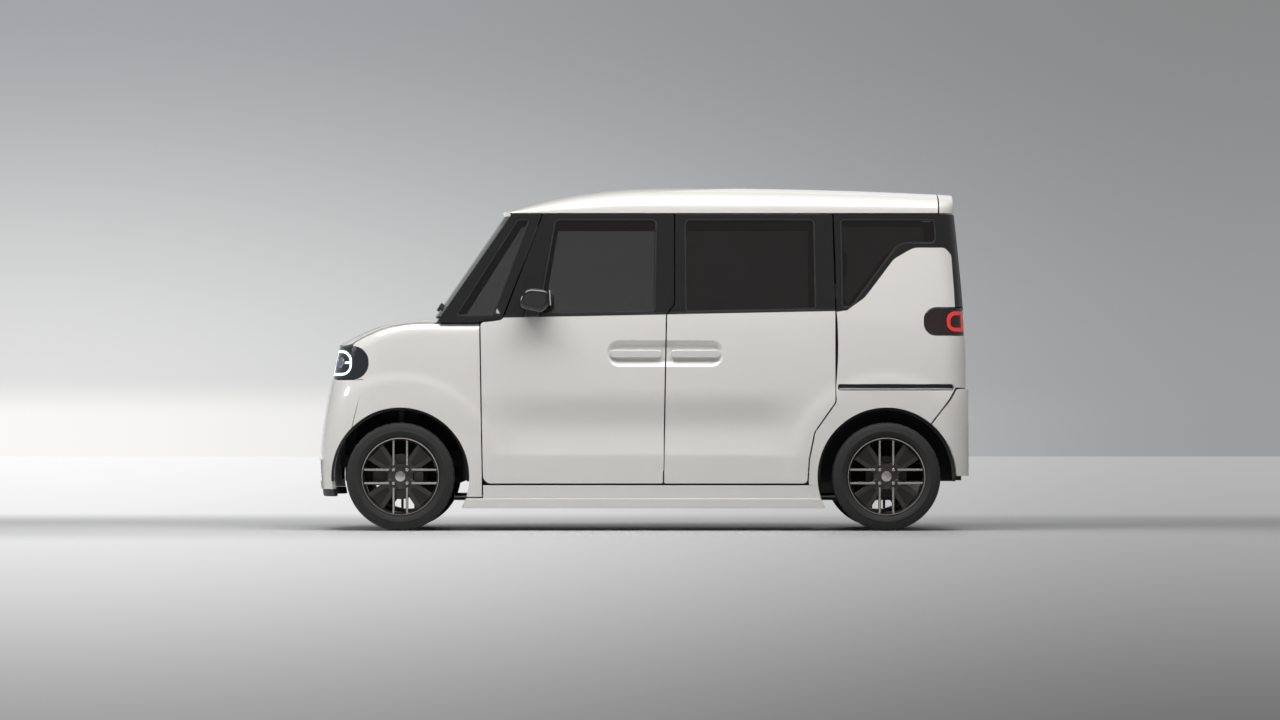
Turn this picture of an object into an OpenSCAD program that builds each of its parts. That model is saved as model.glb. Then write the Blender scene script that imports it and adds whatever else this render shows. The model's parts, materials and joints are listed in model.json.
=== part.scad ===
// Tall two-box kei car, left side as seen in the photograph.
// Frame: +X to the rear, +Y to the car's right, +Z up, origin on the ground under the middle of the body.

/* [Body] */
// Body width without the mirrors
body_width = 1475; // [1400:5:1480]
// Height of the roof over the ground
roof_top_z = 1790; // [1700:5:1900]
// From the nose to the front axle
front_overhang = 445; // [430:5:480]
// From the front axle to the rear axle
wheelbase = 2520; // [2400:10:2700]
// From the rear axle to the rear bumper
rear_overhang = 430; // [420:5:480]
// Underside of the side skirts over the ground
skirt_z = 118; // [105:1:135]
// Lower edge of the doors
door_low_z = 242; // [230:1:260]
// Height of the belt line at the front axle
belt_z = 1090; // [1070:1:1110]
// Rise of the belt line from the front axle to the rear axle
belt_rise = 50; // [20:1:70]
// Height of the drip line over the doors
drip_z = 1645; // [1600:5:1660]
// Lean of the side glass from the vertical, in degrees
side_lean = 6.5; // [4:0.5:9]
// Shut line gap between two panels
shut_gap = 7; // [6.5:0.5:8]
// Thickness of doors and side walls
wall_t = 62; // [50:1:75]
// Thickness of the outer panels that back onto nothing
skin_t = 24; // [18:1:28]
// Plan radius of the front corners
nose_r = 240; // [180:10:280]
// Plan radius of the rear corners
tail_r = 120; // [90:10:160]

/* [Doors] */
// From the front axle to the front shut line of the front door
door_setback = 412; // [405:1:440]
// Length of the front door along the belt
door_length = 968; // [900:1:1000]
// From the rear shut line of the sliding door to the rear axle
sliding_setback = 262; // [240:1:300]
// Opening angle of the front doors
door_swing = 68; // [40:1:75]
// Depth of the hollow pressed into the lower doors
scallop_depth = 20; // [8:1:26]

/* [Wheels] */
// Outer diameter of the tyres
tyre_d = 562; // [540:2:590]
// Width of the tyres
tyre_w = 165; // [145:5:175]
// Diameter over the rim flange
rim_d = 406; // [380:2:420]
// Distance between the left and right tyre centres
track_w = 1300; // [1280:5:1310]
// Radius of the wheel arch openings
arch_r = 358; // [345:1:370]
// Half the distance between the two bars of a spoke pair
spoke_pair = 35; // [28:1:42]
// Radius of the hub spindles
spindle_r = 28; // [22:1:32]
// Radial clearance of a spindle in its bore
bore_clear = 0.05; // [0.02:0.01:0.09]

/* [Cabin] */
// Height of the cabin floor
floor_z = 300; // [280:5:330]
// Thickness of the floor
floor_t = 40; // [30:1:60]
// Width of one front seat
seat_w = 520; // [460:5:540]
// Diameter of the steering wheel
steering_d = 360; // [340:5:380]
// Thickness of the window glass
glass_t = 5; // [4:0.5:6]

/* [Hidden] */
$fn = 48;

white = "#eceae6";
black = "#1a1a1b";
glass_tint = "#3a3a38";
dark_metal = "#4a4744";
cloth = "#3b3a3c";

// Main stations along the car
half_w = body_width/2;
body_length = front_overhang + wheelbase + rear_overhang;
nose_x = -body_length/2;
tail_x = body_length/2;
axle_f = nose_x + front_overhang;
axle_r = axle_f + wheelbase;
wheel_z = tyre_d/2;
half_gap = shut_gap/2;

// Body side: inward steps measured from the widest point
flare_d = 9;
flare_run = 120;
wide_z = 720;
belt_in = 14;
sill_in = 16;
crease_z = 378;
crease_run = 14;
scallop_run = 330;
scallop_low = 0.45;

// Nose and tail
nose_z = 375;
bonnet_lip_z = 957;
nose_rake = 95;
nose_tuck = 25;
nose_bow = 28;
nose_curve = 1.3;
waist_z = 900;
tail_rake = 75;
tail_in = 16;
tail_curve = 1.4;

// Bonnet, windscreen and roof
lip_x = nose_x + nose_rake;
cowl_x = axle_f + 150;
cowl_z = belt_z + 2;
fender_r = 70;
fender_split = 0.29*fender_r;
screen_low = [axle_f + 208, belt_z + 19];
screen_high = [axle_f + 569, drip_z - 12];
screen_bow = 50;
roof_front_x = screen_high[0];
roof_rear_x = axle_r + 269;
roof_peak_x = axle_f + 1455;
roof_front_rise = 12;
roof_rear_drop = 33;
roof_square = 3;
roof_t = 34;

// Door and window outlines, as [x, z, corner radius]
door_x = axle_f + door_setback;
split_x = door_x + door_length;
split_jog = 42;
sliding_x = axle_r - sliding_setback;
door_top_z = drip_z;
frame_w = 26;
pillar_low = [axle_f + 530, belt_z + 6];
pillar_high = [axle_f + 737, door_top_z];

function ease(t) = let (u = min(1, max(0, t))) u*u*(3 - 2*u);
function round_in(c, r) = c >= r ? 0 : r - sqrt(max(0, r*r - pow(r - max(0, c), 2)));
function unit(v) = v/norm(v);
function steps(a, b, pitch) = let (n = max(1, ceil((b - a)/pitch))) [for (i = [0:n]) a + (b - a)*i/n];
function belt_at(x) = belt_z + belt_rise*(x - axle_f)/wheelbase;

// Inward lean of the body side over its height
function lean_in(z) =
    z > belt_z ? belt_in + (z - belt_z)*tan(side_lean) :
    z > wide_z ? belt_in*pow((z - wide_z)/(belt_z - wide_z), 2) :
    sill_in*pow((wide_z - z)/(wide_z - skirt_z), 2);

// Hollow between the wheel arches, which ends on the crease above the sill
function scallop_in(x, z) =
    scallop_depth
    *ease((x - axle_f - arch_r)/scallop_run)
    *ease((axle_r - arch_r - x)/scallop_run)
    *(z > crease_z + crease_run ? ease((wide_z - z)/(wide_z - crease_z - crease_run)) : scallop_low);

// Swelling around the wheel arches
function arch_dist(x, z) =
    min(norm([x - axle_f, z - wheel_z]), norm([x - axle_r, z - wheel_z])) - arch_r;
function flare_out(x, z) = flare_d*ease(1 - arch_dist(x, z)/flare_run);

function nose_at(z) = nose_x + (z > nose_z
    ? nose_rake*pow((z - nose_z)/(bonnet_lip_z - nose_z), nose_curve)
    : nose_tuck*pow((nose_z - z)/(nose_z - skirt_z), 2));
function tail_at(z) = tail_x - tail_in - (z > waist_z
    ? tail_rake*pow((z - waist_z)/(roof_top_z - waist_z), tail_curve) : 0);
function bonnet_at(x) =
    bonnet_lip_z + (cowl_z - bonnet_lip_z)*(1 - pow(1 - min(1, max(0, (x - lip_x)/(cowl_x - lip_x))), 2.4));
function screen_at(z) =
    screen_low[0] + (screen_high[0] - screen_low[0])*(z - screen_low[1])/(screen_high[1] - screen_low[1]);
function roof_at(x) = x < roof_peak_x
    ? roof_top_z - (roof_top_z - drip_z - roof_front_rise)
        *pow((roof_peak_x - x)/(roof_peak_x - roof_front_x), 2.6)
    : roof_top_z - roof_rear_drop*pow((x - roof_peak_x)/(roof_rear_x - roof_peak_x), 2);

// Half width of the body at a station and height, without and with the corner rounding
function flank(x, z) = half_w - flare_d - lean_in(z) - scallop_in(x, z) + flare_out(x, z);
function side(x, z) = flank(x, z)
    - round_in(x - nose_at(z) - nose_bow, nose_r) - round_in(tail_at(z) - x, tail_r);
function fender_side(x, z) = side(x, z) - round_in(bonnet_at(x) - z, fender_r);

// Polygon points of an outline with arcs in its corners
function corner_arc(a, b, c, r, n = 6) = let (
        u = unit(a - b), v = unit(c - b), h = acos(u*v)/2,
        m = b + unit(u + v)*r/sin(h),
        p = unit(b + u*r/tan(h) - m), q = unit(b + v*r/tan(h) - m))
    [for (i = [0:n]) m + r*unit(p*(n - i) + q*i)];
function flat(p) = [p[0], p[1]];
function rounded(pts) = let (n = len(pts)) [for (i = [0:n - 1]) let (p = pts[i])
    each p[2] == 0 ? [flat(p)]
        : corner_arc(flat(pts[(i + n - 1) % n]), flat(p), flat(pts[(i + 1) % n]), p[2])];

// Closed slab between two grids of points, outer face clockwise from outside
module slab(outer, inner) {
    n = len(outer) - 1;
    m = len(outer[0]) - 1;
    k = (n + 1)*(m + 1);
    function o(i, j) = i*(m + 1) + j;
    function q(i, j) = k + o(i, j);
    polyhedron(
        points = [for (r = outer) each r, for (r = inner) each r],
        faces = [
            for (i = [0:n - 1]) for (j = [0:m - 1]) [o(i, j), o(i, j + 1), o(i + 1, j + 1), o(i + 1, j)],
            for (i = [0:n - 1]) for (j = [0:m - 1]) [q(i, j), q(i + 1, j), q(i + 1, j + 1), q(i, j + 1)],
            for (i = [0:n - 1]) [o(i, 0), o(i + 1, 0), q(i + 1, 0), q(i, 0)],
            for (i = [0:n - 1]) [o(i + 1, m), o(i, m), q(i, m), q(i + 1, m)],
            for (j = [0:m - 1]) [o(0, j + 1), o(0, j), q(0, j), q(0, j + 1)],
            for (j = [0:m - 1]) [o(n, j), o(n, j + 1), q(n, j + 1), q(n, j)]],
        convexity = 6);
}

// Left body side between two stations and heights, from depth d0 to depth d1 under the surface
module side_slab(x, z, d0, d1, pitch = [110, 75]) {
    xs = steps(x[0], x[1], pitch[0]);
    zs = steps(z[0], z[1], pitch[1]);
    slab([for (a = xs) [for (b = zs) [a, d0 - side(a, b), b]]],
         [for (a = xs) [for (b = zs) [a, d1 - side(a, b), b]]]);
}

// Prism through the left side over an outline in the side view
module through_side(pts, grow = 0) {
    rotate([90, 0, 0]) linear_extrude(half_w + 60) offset(delta = grow) polygon(rounded(pts));
}

module both_sides() {
    children();
    mirror([0, 1, 0]) children();
}

module across(length) {
    rotate([90, 0, 0]) linear_extrude(length, center = true) children();
}

front_door_outline = [
    [door_x + 14, door_low_z, 45], [split_x - 16, door_low_z, 12], [split_x, belt_at(split_x), 20],
    [split_x + split_jog, belt_at(split_x) + 60, 20], [split_x + split_jog, door_top_z, 14],
    [pillar_high[0], pillar_high[1], 30], [pillar_low[0], pillar_low[1], 30], [door_x, belt_z - 8, 22]];
sliding_outline = [
    [split_x - 16, door_low_z, 12], [axle_r - 408, door_low_z, 25], [axle_r - 400, wheel_z + 90, 80],
    [axle_r - 372, wheel_z + 230, 60], [sliding_x, wheel_z + 385, 40], [sliding_x, belt_at(sliding_x), 30],
    [sliding_x - 14, door_top_z, 14], [split_x + split_jog, door_top_z, 14],
    [split_x + split_jog, belt_at(split_x) + 60, 20], [split_x, belt_at(split_x), 20]];
glass_top_z = drip_z - frame_w;
front_glass_outline = [
    [axle_f + 712, belt_z + 30, 30], [split_x - 58, belt_at(split_x) + 12, 18],
    [split_x - 48, glass_top_z, 28], [axle_f + 800, glass_top_z, 30]];
sliding_glass_outline = [
    [split_x + 95, belt_at(split_x) + 14, 18], [sliding_x - 100, belt_at(sliding_x) + 10, 24],
    [sliding_x - 108, glass_top_z, 28], [split_x + 92, glass_top_z, 28]];
front_quarter_outline = [
    [screen_low[0] + 72, belt_z + 22, 12], [pillar_low[0] - 44, belt_z + 22, 14],
    [pillar_high[0] - 62, glass_top_z, 14], [screen_high[0] + 36, glass_top_z, 16]];
rear_quarter_outline = [
    [sliding_x + 28, belt_at(axle_r) + 12, 24], [axle_r - 178, belt_at(axle_r) + 16, 50],
    [axle_r + 70, belt_at(axle_r) + 348, 90], [axle_r + 262, belt_at(axle_r) + 348, 30],
    [axle_r + 255, glass_top_z, 24], [sliding_x + 20, glass_top_z, 24]];

// Bumper, lamp and bonnet outlines
chin_z = 190;
face_z = 785;
lamp_back = nose_x + 277;
lamp_r = 78;
bumper_tip = [nose_x + 262, face_z];
bumper_arch = [axle_f - 253, wheel_z + 253];
grille_half = half_w - 307.5;
bonnet_edge = skin_t + shut_gap + 6;
bonnet_t = 22;
rear_bumper_z = 281;
bumper_corner_z = 735;
tailgate_low_z = 560;
tailgate_t = 55;
tailgate_in = 103;
tailgate_bevel = 0.26;
quarter_turn = 78;
tail_lamp_z = [1014, 1156];
tail_lamp_x = axle_r + 195;
rail_z = 740;
sill_top_z = door_low_z - half_gap;
sill_step_z = 175;

function transposed(m) = [for (i = [0:len(m[0]) - 1]) [for (r = m) r[i]]];

// One half of the nose in plan, from the side round the corner to the middle, at a depth under the surface
function nose_half(z, d, x_end) = let (cx = nose_at(z) + nose_bow + nose_r, cy = flank(cx, z) - nose_r) [
    for (i = [0:2]) let (x = x_end + (cx - x_end)*i/2) [x, d - flank(x, z), z],
    for (a = [18:18:90]) let (x = cx - (nose_r - d)*sin(a))
        [x, nose_r - flank(x, z) - (nose_r - d)*cos(a), z],
    for (i = [1:3]) let (y = cy*(1 - i/3)) [nose_at(z) + nose_bow*pow(y/cy, 2) + d, -y, z]];
function tail_half(z, d, x_end, push) = let (cx = tail_at(z) - tail_r, cy = flank(cx, z) - tail_r) [
    for (i = [0:3]) let (x = x_end + (cx - x_end)*i/3) [x, d - flank(x, z), z],
    for (a = [18:18:90]) [cx + (tail_r - d + push)*sin(a), tail_r - flank(cx, z) - (tail_r - d)*cos(a), z],
    for (i = [1:3]) [tail_at(z) + push - d, -cy*(1 - i/3), z]];
function mirrored(p) = [p[0], -p[1], p[2]];
function nose_row(h) = [for (p = h) mirrored(p), for (i = [len(h) - 2:-1:0]) h[i]];
function tail_row(h) = [for (p = h) p, for (i = [len(h) - 2:-1:0]) mirrored(h[i])];

// Shell round the nose or the tail between two heights
module nose_wrap(x_end, z, d0, d1, pitch = 60) {
    zs = steps(z[0], z[1], pitch);
    slab(transposed([for (b = zs) nose_row(nose_half(b, d0, x_end))]),
         transposed([for (b = zs) nose_row(nose_half(b, d1, x_end))]));
}
module tail_wrap(x_end, z, d0, d1, push = 0, pitch = 60) {
    zs = steps(z[0], z[1], pitch);
    slab(transposed([for (b = zs) tail_row(tail_half(b, d0, x_end, push))]),
         transposed([for (b = zs) tail_row(tail_half(b, d1, x_end, push))]));
}

// Left body side from a station back round the rear corner
function quarter_row(z, d, x_start) = let (cx = tail_at(z) - tail_r, n = ceil((tail_x - x_start)/170)) [
    for (i = [0:n]) let (x = x_start + (cx - x_start)*i/n) [x, d - flank(x, z), z],
    for (k = [1:4]) let (a = quarter_turn*k/4)
        [cx + (tail_r - d)*sin(a), tail_r - flank(cx, z) - (tail_r - d)*cos(a), z]];
module quarter_slab(x_start, z, d0, d1, pitch = 105) {
    zs = steps(z[0], z[1], pitch);
    slab(transposed([for (b = zs) quarter_row(b, d0, x_start)]),
         transposed([for (b = zs) quarter_row(b, d1, x_start)]));
}

// Bonnet surface: set back towards the corners and rounded over at the fenders
function setback(y) = let (cx = lip_x + nose_bow + nose_r, cy = flank(cx, bonnet_lip_z) - nose_r, a = abs(y))
    a < cy ? nose_bow*pow(a/cy, 2) : nose_bow + round_in(nose_r - min(130, a - cy), nose_r);
function eased_x(x, y) = x - setback(y)*(1 - min(1, max(0, (x - lip_x)/(cowl_x - lip_x))));
function edge_half(x) = side(x, bonnet_lip_z) - bonnet_edge;
function edge_z(x) = bonnet_at(eased_x(x, edge_half(x)));
function bonnet_top(x, y) = max(bonnet_lip_z + 5.5,
    bonnet_at(eased_x(x, y)) - round_in(max(bonnet_edge - 10, side(x, bonnet_lip_z) - abs(y)), fender_r));
function bonnet_under(x, y) = let (z = bonnet_top(x, y)) min(z - 3, max(z - bonnet_t, bonnet_lip_z + 2));
function fender_top(x) = edge_z(x) - fender_split;
function fender_at(x, z) = side(x, z) - round_in(edge_z(x) - z, fender_r);
function bonnet_half_plan() = let (z = bonnet_lip_z, cx = nose_at(z) + nose_bow + nose_r,
        cy = flank(cx, z) - nose_r, x_back = cowl_x + 26) [
    for (i = [0:5]) let (x = x_back + (cx - x_back)*i/5) [x, edge_half(x)],
    for (a = [15:15:90]) let (d = 8 + (bonnet_edge - 8)*(90 - a)/90 + 12*sin(2*a))
        [cx - (nose_r - d)*sin(a), cy + (nose_r - d)*cos(a)],
    for (i = [1:3]) let (y = cy*(1 - i/3)) [nose_at(z) + nose_bow*pow(y/cy, 2) + 8, y]];
function bonnet_plan() = let (h = bonnet_half_plan()) [
    for (p = h) p, for (i = [len(h) - 2:-1:0]) [h[i][0], -h[i][1]],
    [cowl_x, -300], [cowl_x - 4, 0], [cowl_x, 300]];

// Cross section of the roof, from the left drip line over the top to the right
function roof_row(x, d, n = 10) = let (w = side(x, drip_z) - d, h = max(0, roof_at(x) - drip_z - d)) [
    for (i = [0:n]) let (a = 180*i/n, c = cos(a), s = sin(a), k = 2/roof_square)
        [roof_x(x, c), -w*sign(c)*pow(abs(c), k), drip_z + half_gap + h*pow(s, k)]];
function roof_x(x, c) = x - screen_bow*(1 - pow(abs(c), 4/roof_square))*max(0, 1 - (x - roof_front_x)/400);
function sole_row(row) = [for (p = row) [p[0], 0.97*p[1], drip_z + half_gap]];
module roof_slab(x, t, pitch = 160) {
    xs = steps(x[0], x[1], pitch);
    slab([for (a = xs) roof_row(a, 0)], [for (a = xs) roof_row(a, t)]);
}

module arch_cut(x) {
    translate([x, 0, wheel_z]) rotate([90, 0, 0]) cylinder(r = arch_r, h = 2*half_w + 100, center = true);
}

// Running gear places
wheel_y = track_w/2;
hub_face = 50;
hub_back = 10;
bore_end = 44;
fit_gap = 0.3;
king_low = [625, 190];
king_high = [500, 900];
steer_axis = unit([0, king_low[0] - king_high[0], king_low[1] - king_high[1]]);
damper_low = [535, 400];
cabin_half = half_w - wall_t - 75.5;
seat_y = cabin_half - 295;
steering_pos = [axle_f + 585, seat_y, 985];
steering_tilt = 60;
shaft_r = 12;
front_seat_x = axle_f + 825;
rear_seat_x = axle_f + 1725;
rear_seat_half = cabin_half - 70;

// Wheel frame: local +Z points out of the car, s = -1 for the left and 1 for the right side
module at_wheel(x, s) {
    translate([x, s*wheel_y, wheel_z]) rotate([-90*s, 0, 0]) children();
}

module wheel_metal() {
    barrel = [[186, -70], [203, -70], [203, -62], [192, -58], [192, 58], [203, 62], [203, 70], [188, 70],
        [184, 40], [184, -60]];
    k = rim_d/406;
    difference() {
        union() {
            rotate_extrude() polygon([for (p = barrel) [p[0]*k, p[1]]]);
            translate([0, 0, hub_back]) cylinder(r = 70, h = hub_face - hub_back);
            for (a = [45:90:315]) rotate([0, 0, a]) translate([0, 0, 34]) linear_extrude(18)
                polygon([[40, -34], [178*k, -62], [188*k, 0], [178*k, 62], [40, 34]]);
            for (a = [0:90:270]) rotate([0, 0, a]) for (v = [-1, 1])
                translate([50, v*spoke_pair - 7, 36]) cube([187*k - 50, 14, 24]);
        }
        translate([0, 0, -5]) cylinder(r = spindle_r + bore_clear, h = bore_end + 5);
    }
}

module tyre() {
    half = [[193.4, 57.8], [204, 61.6], [214, 76], [236, 82.5], [262, 78], [276, 66], [281, 48]];
    kr = (tyre_d/2 - rim_d/2)/78;
    kw = tyre_w/165;
    pts = [for (p = half)
        [p[0] < 204 ? rim_d/2 - 9.6 : rim_d/2 + (p[0] - 203)*kr, p[0] <= 204 ? p[1] : p[1]*kw]];
    rotate_extrude() polygon([for (p = pts) p, for (i = [len(pts) - 1:-1:0]) [pts[i][0], -pts[i][1]]]);
}

module brake_disc() {
    difference() {
        union() {
            translate([0, 0, -8]) cylinder(r = 118, h = 12);
            cylinder(r = 72, h = hub_back - fit_gap);
        }
        translate([0, 0, -20]) cylinder(r = spindle_r + 6, h = 40);
    }
}

module brake_drum() {
    difference() {
        translate([0, 0, -42]) cylinder(r = 108, h = hub_back - fit_gap + 42);
        translate([0, 0, -50]) cylinder(r = spindle_r + 6, h = 80);
    }
}

module rod(a, b, r) {
    d = b - a;
    translate(a) rotate([0, acos(d[2]/norm(d)), atan2(d[1], d[0])]) cylinder(r = r, h = norm(d));
}

king_slope = (king_low[0] - king_high[0])/(king_high[1] - king_low[1]);
function king_at(z) = [0, (z - king_low[1])*king_slope - king_low[0], z];
pin_r = 8;

// Upright with spindle, caliper and damper, drawn for the left side
module knuckle() {
    translate([axle_f, 0, 0]) difference() {
        knuckle_solid();
        rod(king_at(196), king_at(240), pin_r + bore_clear);
    }
}
module knuckle_solid() {
    union() {
        at_wheel(0, -1) {
            translate([0, 0, -62]) cylinder(r = 46, h = 40);
            translate([0, 0, -40]) cylinder(r = spindle_r, h = 82);
            difference() {
                translate([-142, -45, -44]) cube([64, 90, 66]);
                translate([0, 0, -20]) cylinder(r = 124, h = 30);
            }
            translate([-110, -22, -60]) cube([90, 44, 22]);
        }
        rod(king_at(202), king_at(262), 14);
        rod([0, -590, 300], [0, -damper_low[0], damper_low[1] + 60], 24);
        rod([0, -damper_low[0], damper_low[1]], [0, -king_high[0], king_high[1] - 8], 24);
        rod([0, -518, 640], [0, -503, 850], 56);
    }
}
module knuckle_left() color(dark_metal) knuckle();
module knuckle_right() color(dark_metal) mirror([0, 1, 0]) knuckle();

module wheel_front_left() color(dark_metal) at_wheel(axle_f, -1) wheel_metal();
module wheel_front_right() color(dark_metal) at_wheel(axle_f, 1) wheel_metal();
module wheel_rear_left() color(dark_metal) at_wheel(axle_r, -1) wheel_metal();
module wheel_rear_right() color(dark_metal) at_wheel(axle_r, 1) wheel_metal();
module tyre_front_left() color(black) at_wheel(axle_f, -1) tyre();
module tyre_front_right() color(black) at_wheel(axle_f, 1) tyre();
module tyre_rear_left() color(black) at_wheel(axle_r, -1) tyre();
module tyre_rear_right() color(black) at_wheel(axle_r, 1) tyre();
module brake_disc_left() color("silver") at_wheel(axle_f, -1) brake_disc();
module brake_disc_right() color("silver") at_wheel(axle_f, 1) brake_disc();
module brake_drum_left() color("gray") at_wheel(axle_r, -1) brake_drum();
module brake_drum_right() color("gray") at_wheel(axle_r, 1) brake_drum();

arm_seat_z = floor_z - floor_t - fit_gap;

// Torsion beam with trailing arms, spindles and dampers
module rear_axle() color(dark_metal) {
    translate([axle_r - 130, 0, 224]) rotate([90, 0, 0]) cylinder(r = 30, h = 1010, center = true);
    both_sides() {
        translate([0, -475, 0]) rotate([90, 0, 0]) linear_extrude(55)
            polygon([[axle_r - 420, 200], [axle_r - 380, 190], [axle_r + 60, 215], [axle_r + 60, 320],
                [axle_r - 85, 300], [axle_r - 104, 254], [axle_r - 360, 254], [axle_r - 360, arm_seat_z],
                [axle_r - 420, arm_seat_z]]);
        at_wheel(axle_r, -1) translate([0, 0, -150]) cylinder(r = spindle_r, h = 192);
        at_wheel(axle_r, -1) translate([0, 0, -122]) cylinder(r = 60, h = 60);
        rod([axle_r + 40, -505, 290], [axle_r + 60, -490, 610], 24);
    }
}

// Cross beam with the lower arms
module front_suspension() color(dark_metal) {
    translate([axle_f + 20, -390, 172]) cube([150, 780, 60]);
    both_sides() translate([axle_f + 60, -388, 200]) cube([70, 46, 330 - 200 - fit_gap]);
    both_sides() translate([0, 0, 172]) linear_extrude(22)
        polygon([[axle_f - 60, -300], [axle_f - 24, -560], [axle_f - 12, -630], [axle_f + 12, -630],
            [axle_f + 24, -560], [axle_f + 165, -320], [axle_f + 165, -260], [axle_f - 30, -260]]);
    both_sides() translate([axle_f, 0, 0]) rod(king_at(180), king_at(234), pin_r);
}

// Shell over one left wheel, from its inner edge out to the arch
module wheel_liner(x, edge, hollow) {
    translate([x, -wheel_y, wheel_z]) rotate([90, 0, 0]) difference() {
        translate([0, 0, edge]) cylinder(r = arch_r - fit_gap, h = 60 - edge);
        translate([0, 0, hollow]) cylinder(r = arch_r - 13, h = 200);
        translate([0, 0, -150]) cylinder(r = 80, h = 100);
        translate([-400, -400, -130]) cube([800, 375, 220]);
    }
}
module wheel_liners() color(black) {
    both_sides() {
        wheel_liner(axle_f, -46, -120);
        wheel_liner(axle_r, -112, -104);
    }
}

cowl_seat_z = 1047.7;
liner_in = wheel_y - 112;

// Floor with bulkhead, front rails, strut towers and tie bars
module floor_pan() color(dark_metal) {
    difference() {
        union() {
            translate([axle_f + 325, -cabin_half, 0]) {
                translate([0, 0, floor_z - floor_t]) cube([wheelbase + 70, 2*cabin_half, floor_t]);
                translate([0, 0, floor_z - 1]) cube([30, 2*cabin_half, cowl_seat_z - floor_z + 1]);
            }
            translate([axle_r + 362, -cabin_half, floor_z - 1]) cube([33, 2*cabin_half, 240]);
        }
        both_sides() translate([axle_r - arch_r - 6, -cabin_half - 50, 0])
            cube([2*arch_r + 60, cabin_half + 50 - liner_in + fit_gap, 600]);
        both_sides() translate([axle_r - 108, -cabin_half, 0]) cube([240, cabin_half - 458, 500]);
    }
    both_sides() {
        translate([nose_x + 150, -395, 330]) cube([axle_f + 330 - nose_x - 150, 60, 80]);
        translate([axle_f - 80, -432, 345]) cube([160, 40, 556]);
        translate([axle_f - 80, -565, king_high[1] + 1]) cube([160, 150, 14]);
    }
    translate([nose_x + 130, -500, 330]) cube([30, 1000, 60]);
    translate([nose_x + 170, -500, 830]) cube([30, 1000, 60]);
    for (y = [-395, 345]) translate([nose_x + 150, y, 350]) cube([50, 50, 500]);
}

roof_seat_z = drip_z + half_gap - fit_gap;
side_outline = [
    [axle_f + 300, skirt_z, 0], [axle_r - 300, skirt_z, 0], [axle_r - 200, wheel_z, 0],
    [axle_r + 252, wheel_z + 305, 0], [axle_r + 358, bumper_corner_z + shut_gap, 0],
    [tail_x + 40, bumper_corner_z + shut_gap, 0], [tail_x + 40, drip_z - half_gap, 0],
    [roof_rear_x - 10, drip_z - half_gap, 0], [roof_rear_x - 10, roof_seat_z, 0],
    [screen_high[0] + 8, roof_seat_z, 0],
    [screen_low[0] - 6, screen_low[1] - 8, 0], [screen_low[0] - 6, cowl_z - fender_split + shut_gap, 0],
    [door_x + 30, cowl_z - fender_split + shut_gap, 0], [door_x + 30, door_low_z + 60, 0],
    [door_x + 14 + half_gap, door_low_z + 50, 0], [door_x + 14 + half_gap, sill_step_z - shut_gap, 0],
    [axle_f + 300, sill_step_z - shut_gap, 0]];

tail_lamp_outline = [
    [tail_x + 40, tail_lamp_z[0], 0], [tail_lamp_x, tail_lamp_z[0], 64],
    [tail_lamp_x, tail_lamp_z[1], 64], [tail_x + 40, tail_lamp_z[1], 0]];
rail_outline = [
    [sliding_x + 10, rail_z - 15, 10], [axle_r + 345, rail_z - 15, 14],
    [axle_r + 345, rail_z + 15, 14], [sliding_x + 10, rail_z + 15, 10]];

frame_pitch = [800, 320];

module beam(x, z, d0, d1) {
    hull() side_slab(x, z, d0, d1, frame_pitch);
}

// Side walls: pillars, sills and rear quarters
module left_side() {
    difference() {
        intersection() {
            quarter_slab(axle_f + 150, [skirt_z, roof_seat_z + 5], 0, wall_t);
            through_side(side_outline);
        }
        arch_cut(axle_f);
        arch_cut(axle_r);
        through_side(front_door_outline, half_gap);
        through_side(sliding_outline, half_gap);
        through_side(front_quarter_outline);
        through_side(rear_quarter_outline);
        through_side(tail_lamp_outline, fit_gap);
        through_side(rail_outline, fit_gap);
    }
}

// Inner frame behind the doors: sills, hinge pillars, door posts and roof rails
module left_frame() {
    difference() {
        union() {
            beam([door_x - 52, axle_r - arch_r - 40], [sill_step_z + 8, arm_seat_z], wall_t + 22, 128);
            beam([door_x - 52, door_x - 10], [sill_step_z + 8, cowl_z - fender_split], 34, 104);
            beam([split_x - 10, split_x + 50], [sill_top_z - 10, belt_z], wall_t + 14, 104);
            beam([split_x - 10, split_x + 50], [belt_z - 5, drip_z - 4], wall_t + 14, 112);
            beam([screen_high[0] + 36, axle_r + 232], [drip_z - 60, drip_z - 4], wall_t + fit_gap, 106);
            beam([sliding_x + 4, sliding_x + 40], [wheel_z + 380, belt_z + 40], wall_t + 2, 106);
            beam([sliding_x + 4, sliding_x + 40], [belt_z + 35, drip_z - 4], wall_t + 2, 106);
        }
        intersection() {
            side_slab([door_x - 90, sliding_x + 30], [skirt_z, drip_z + 20], -20, wall_t + 14, frame_pitch);
            union() {
                through_side(front_door_outline, half_gap);
                through_side(sliding_outline, half_gap);
            }
        }
        through_side(front_quarter_outline);
        through_side(rear_quarter_outline);
    }
}
module inner_frame() color(dark_metal) both_sides() left_frame();
module body_sides() color(white) both_sides() left_side();

module glass_slab(pts, x, z) {
    intersection() {
        side_slab(x, z, 4, 4 + glass_t, [200, 320]);
        through_side(pts, -fit_gap);
    }
}
module side_glass() color(glass_tint) both_sides() {
    glass_slab(front_quarter_outline, [screen_low[0], pillar_high[0]], [belt_z, drip_z]);
    glass_slab(sliding_glass_outline, [split_x + 60, sliding_x - 40], [belt_z, drip_z]);
    glass_slab(rear_quarter_outline, [sliding_x - 40, axle_r + 290], [belt_z, drip_z]);
}

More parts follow.
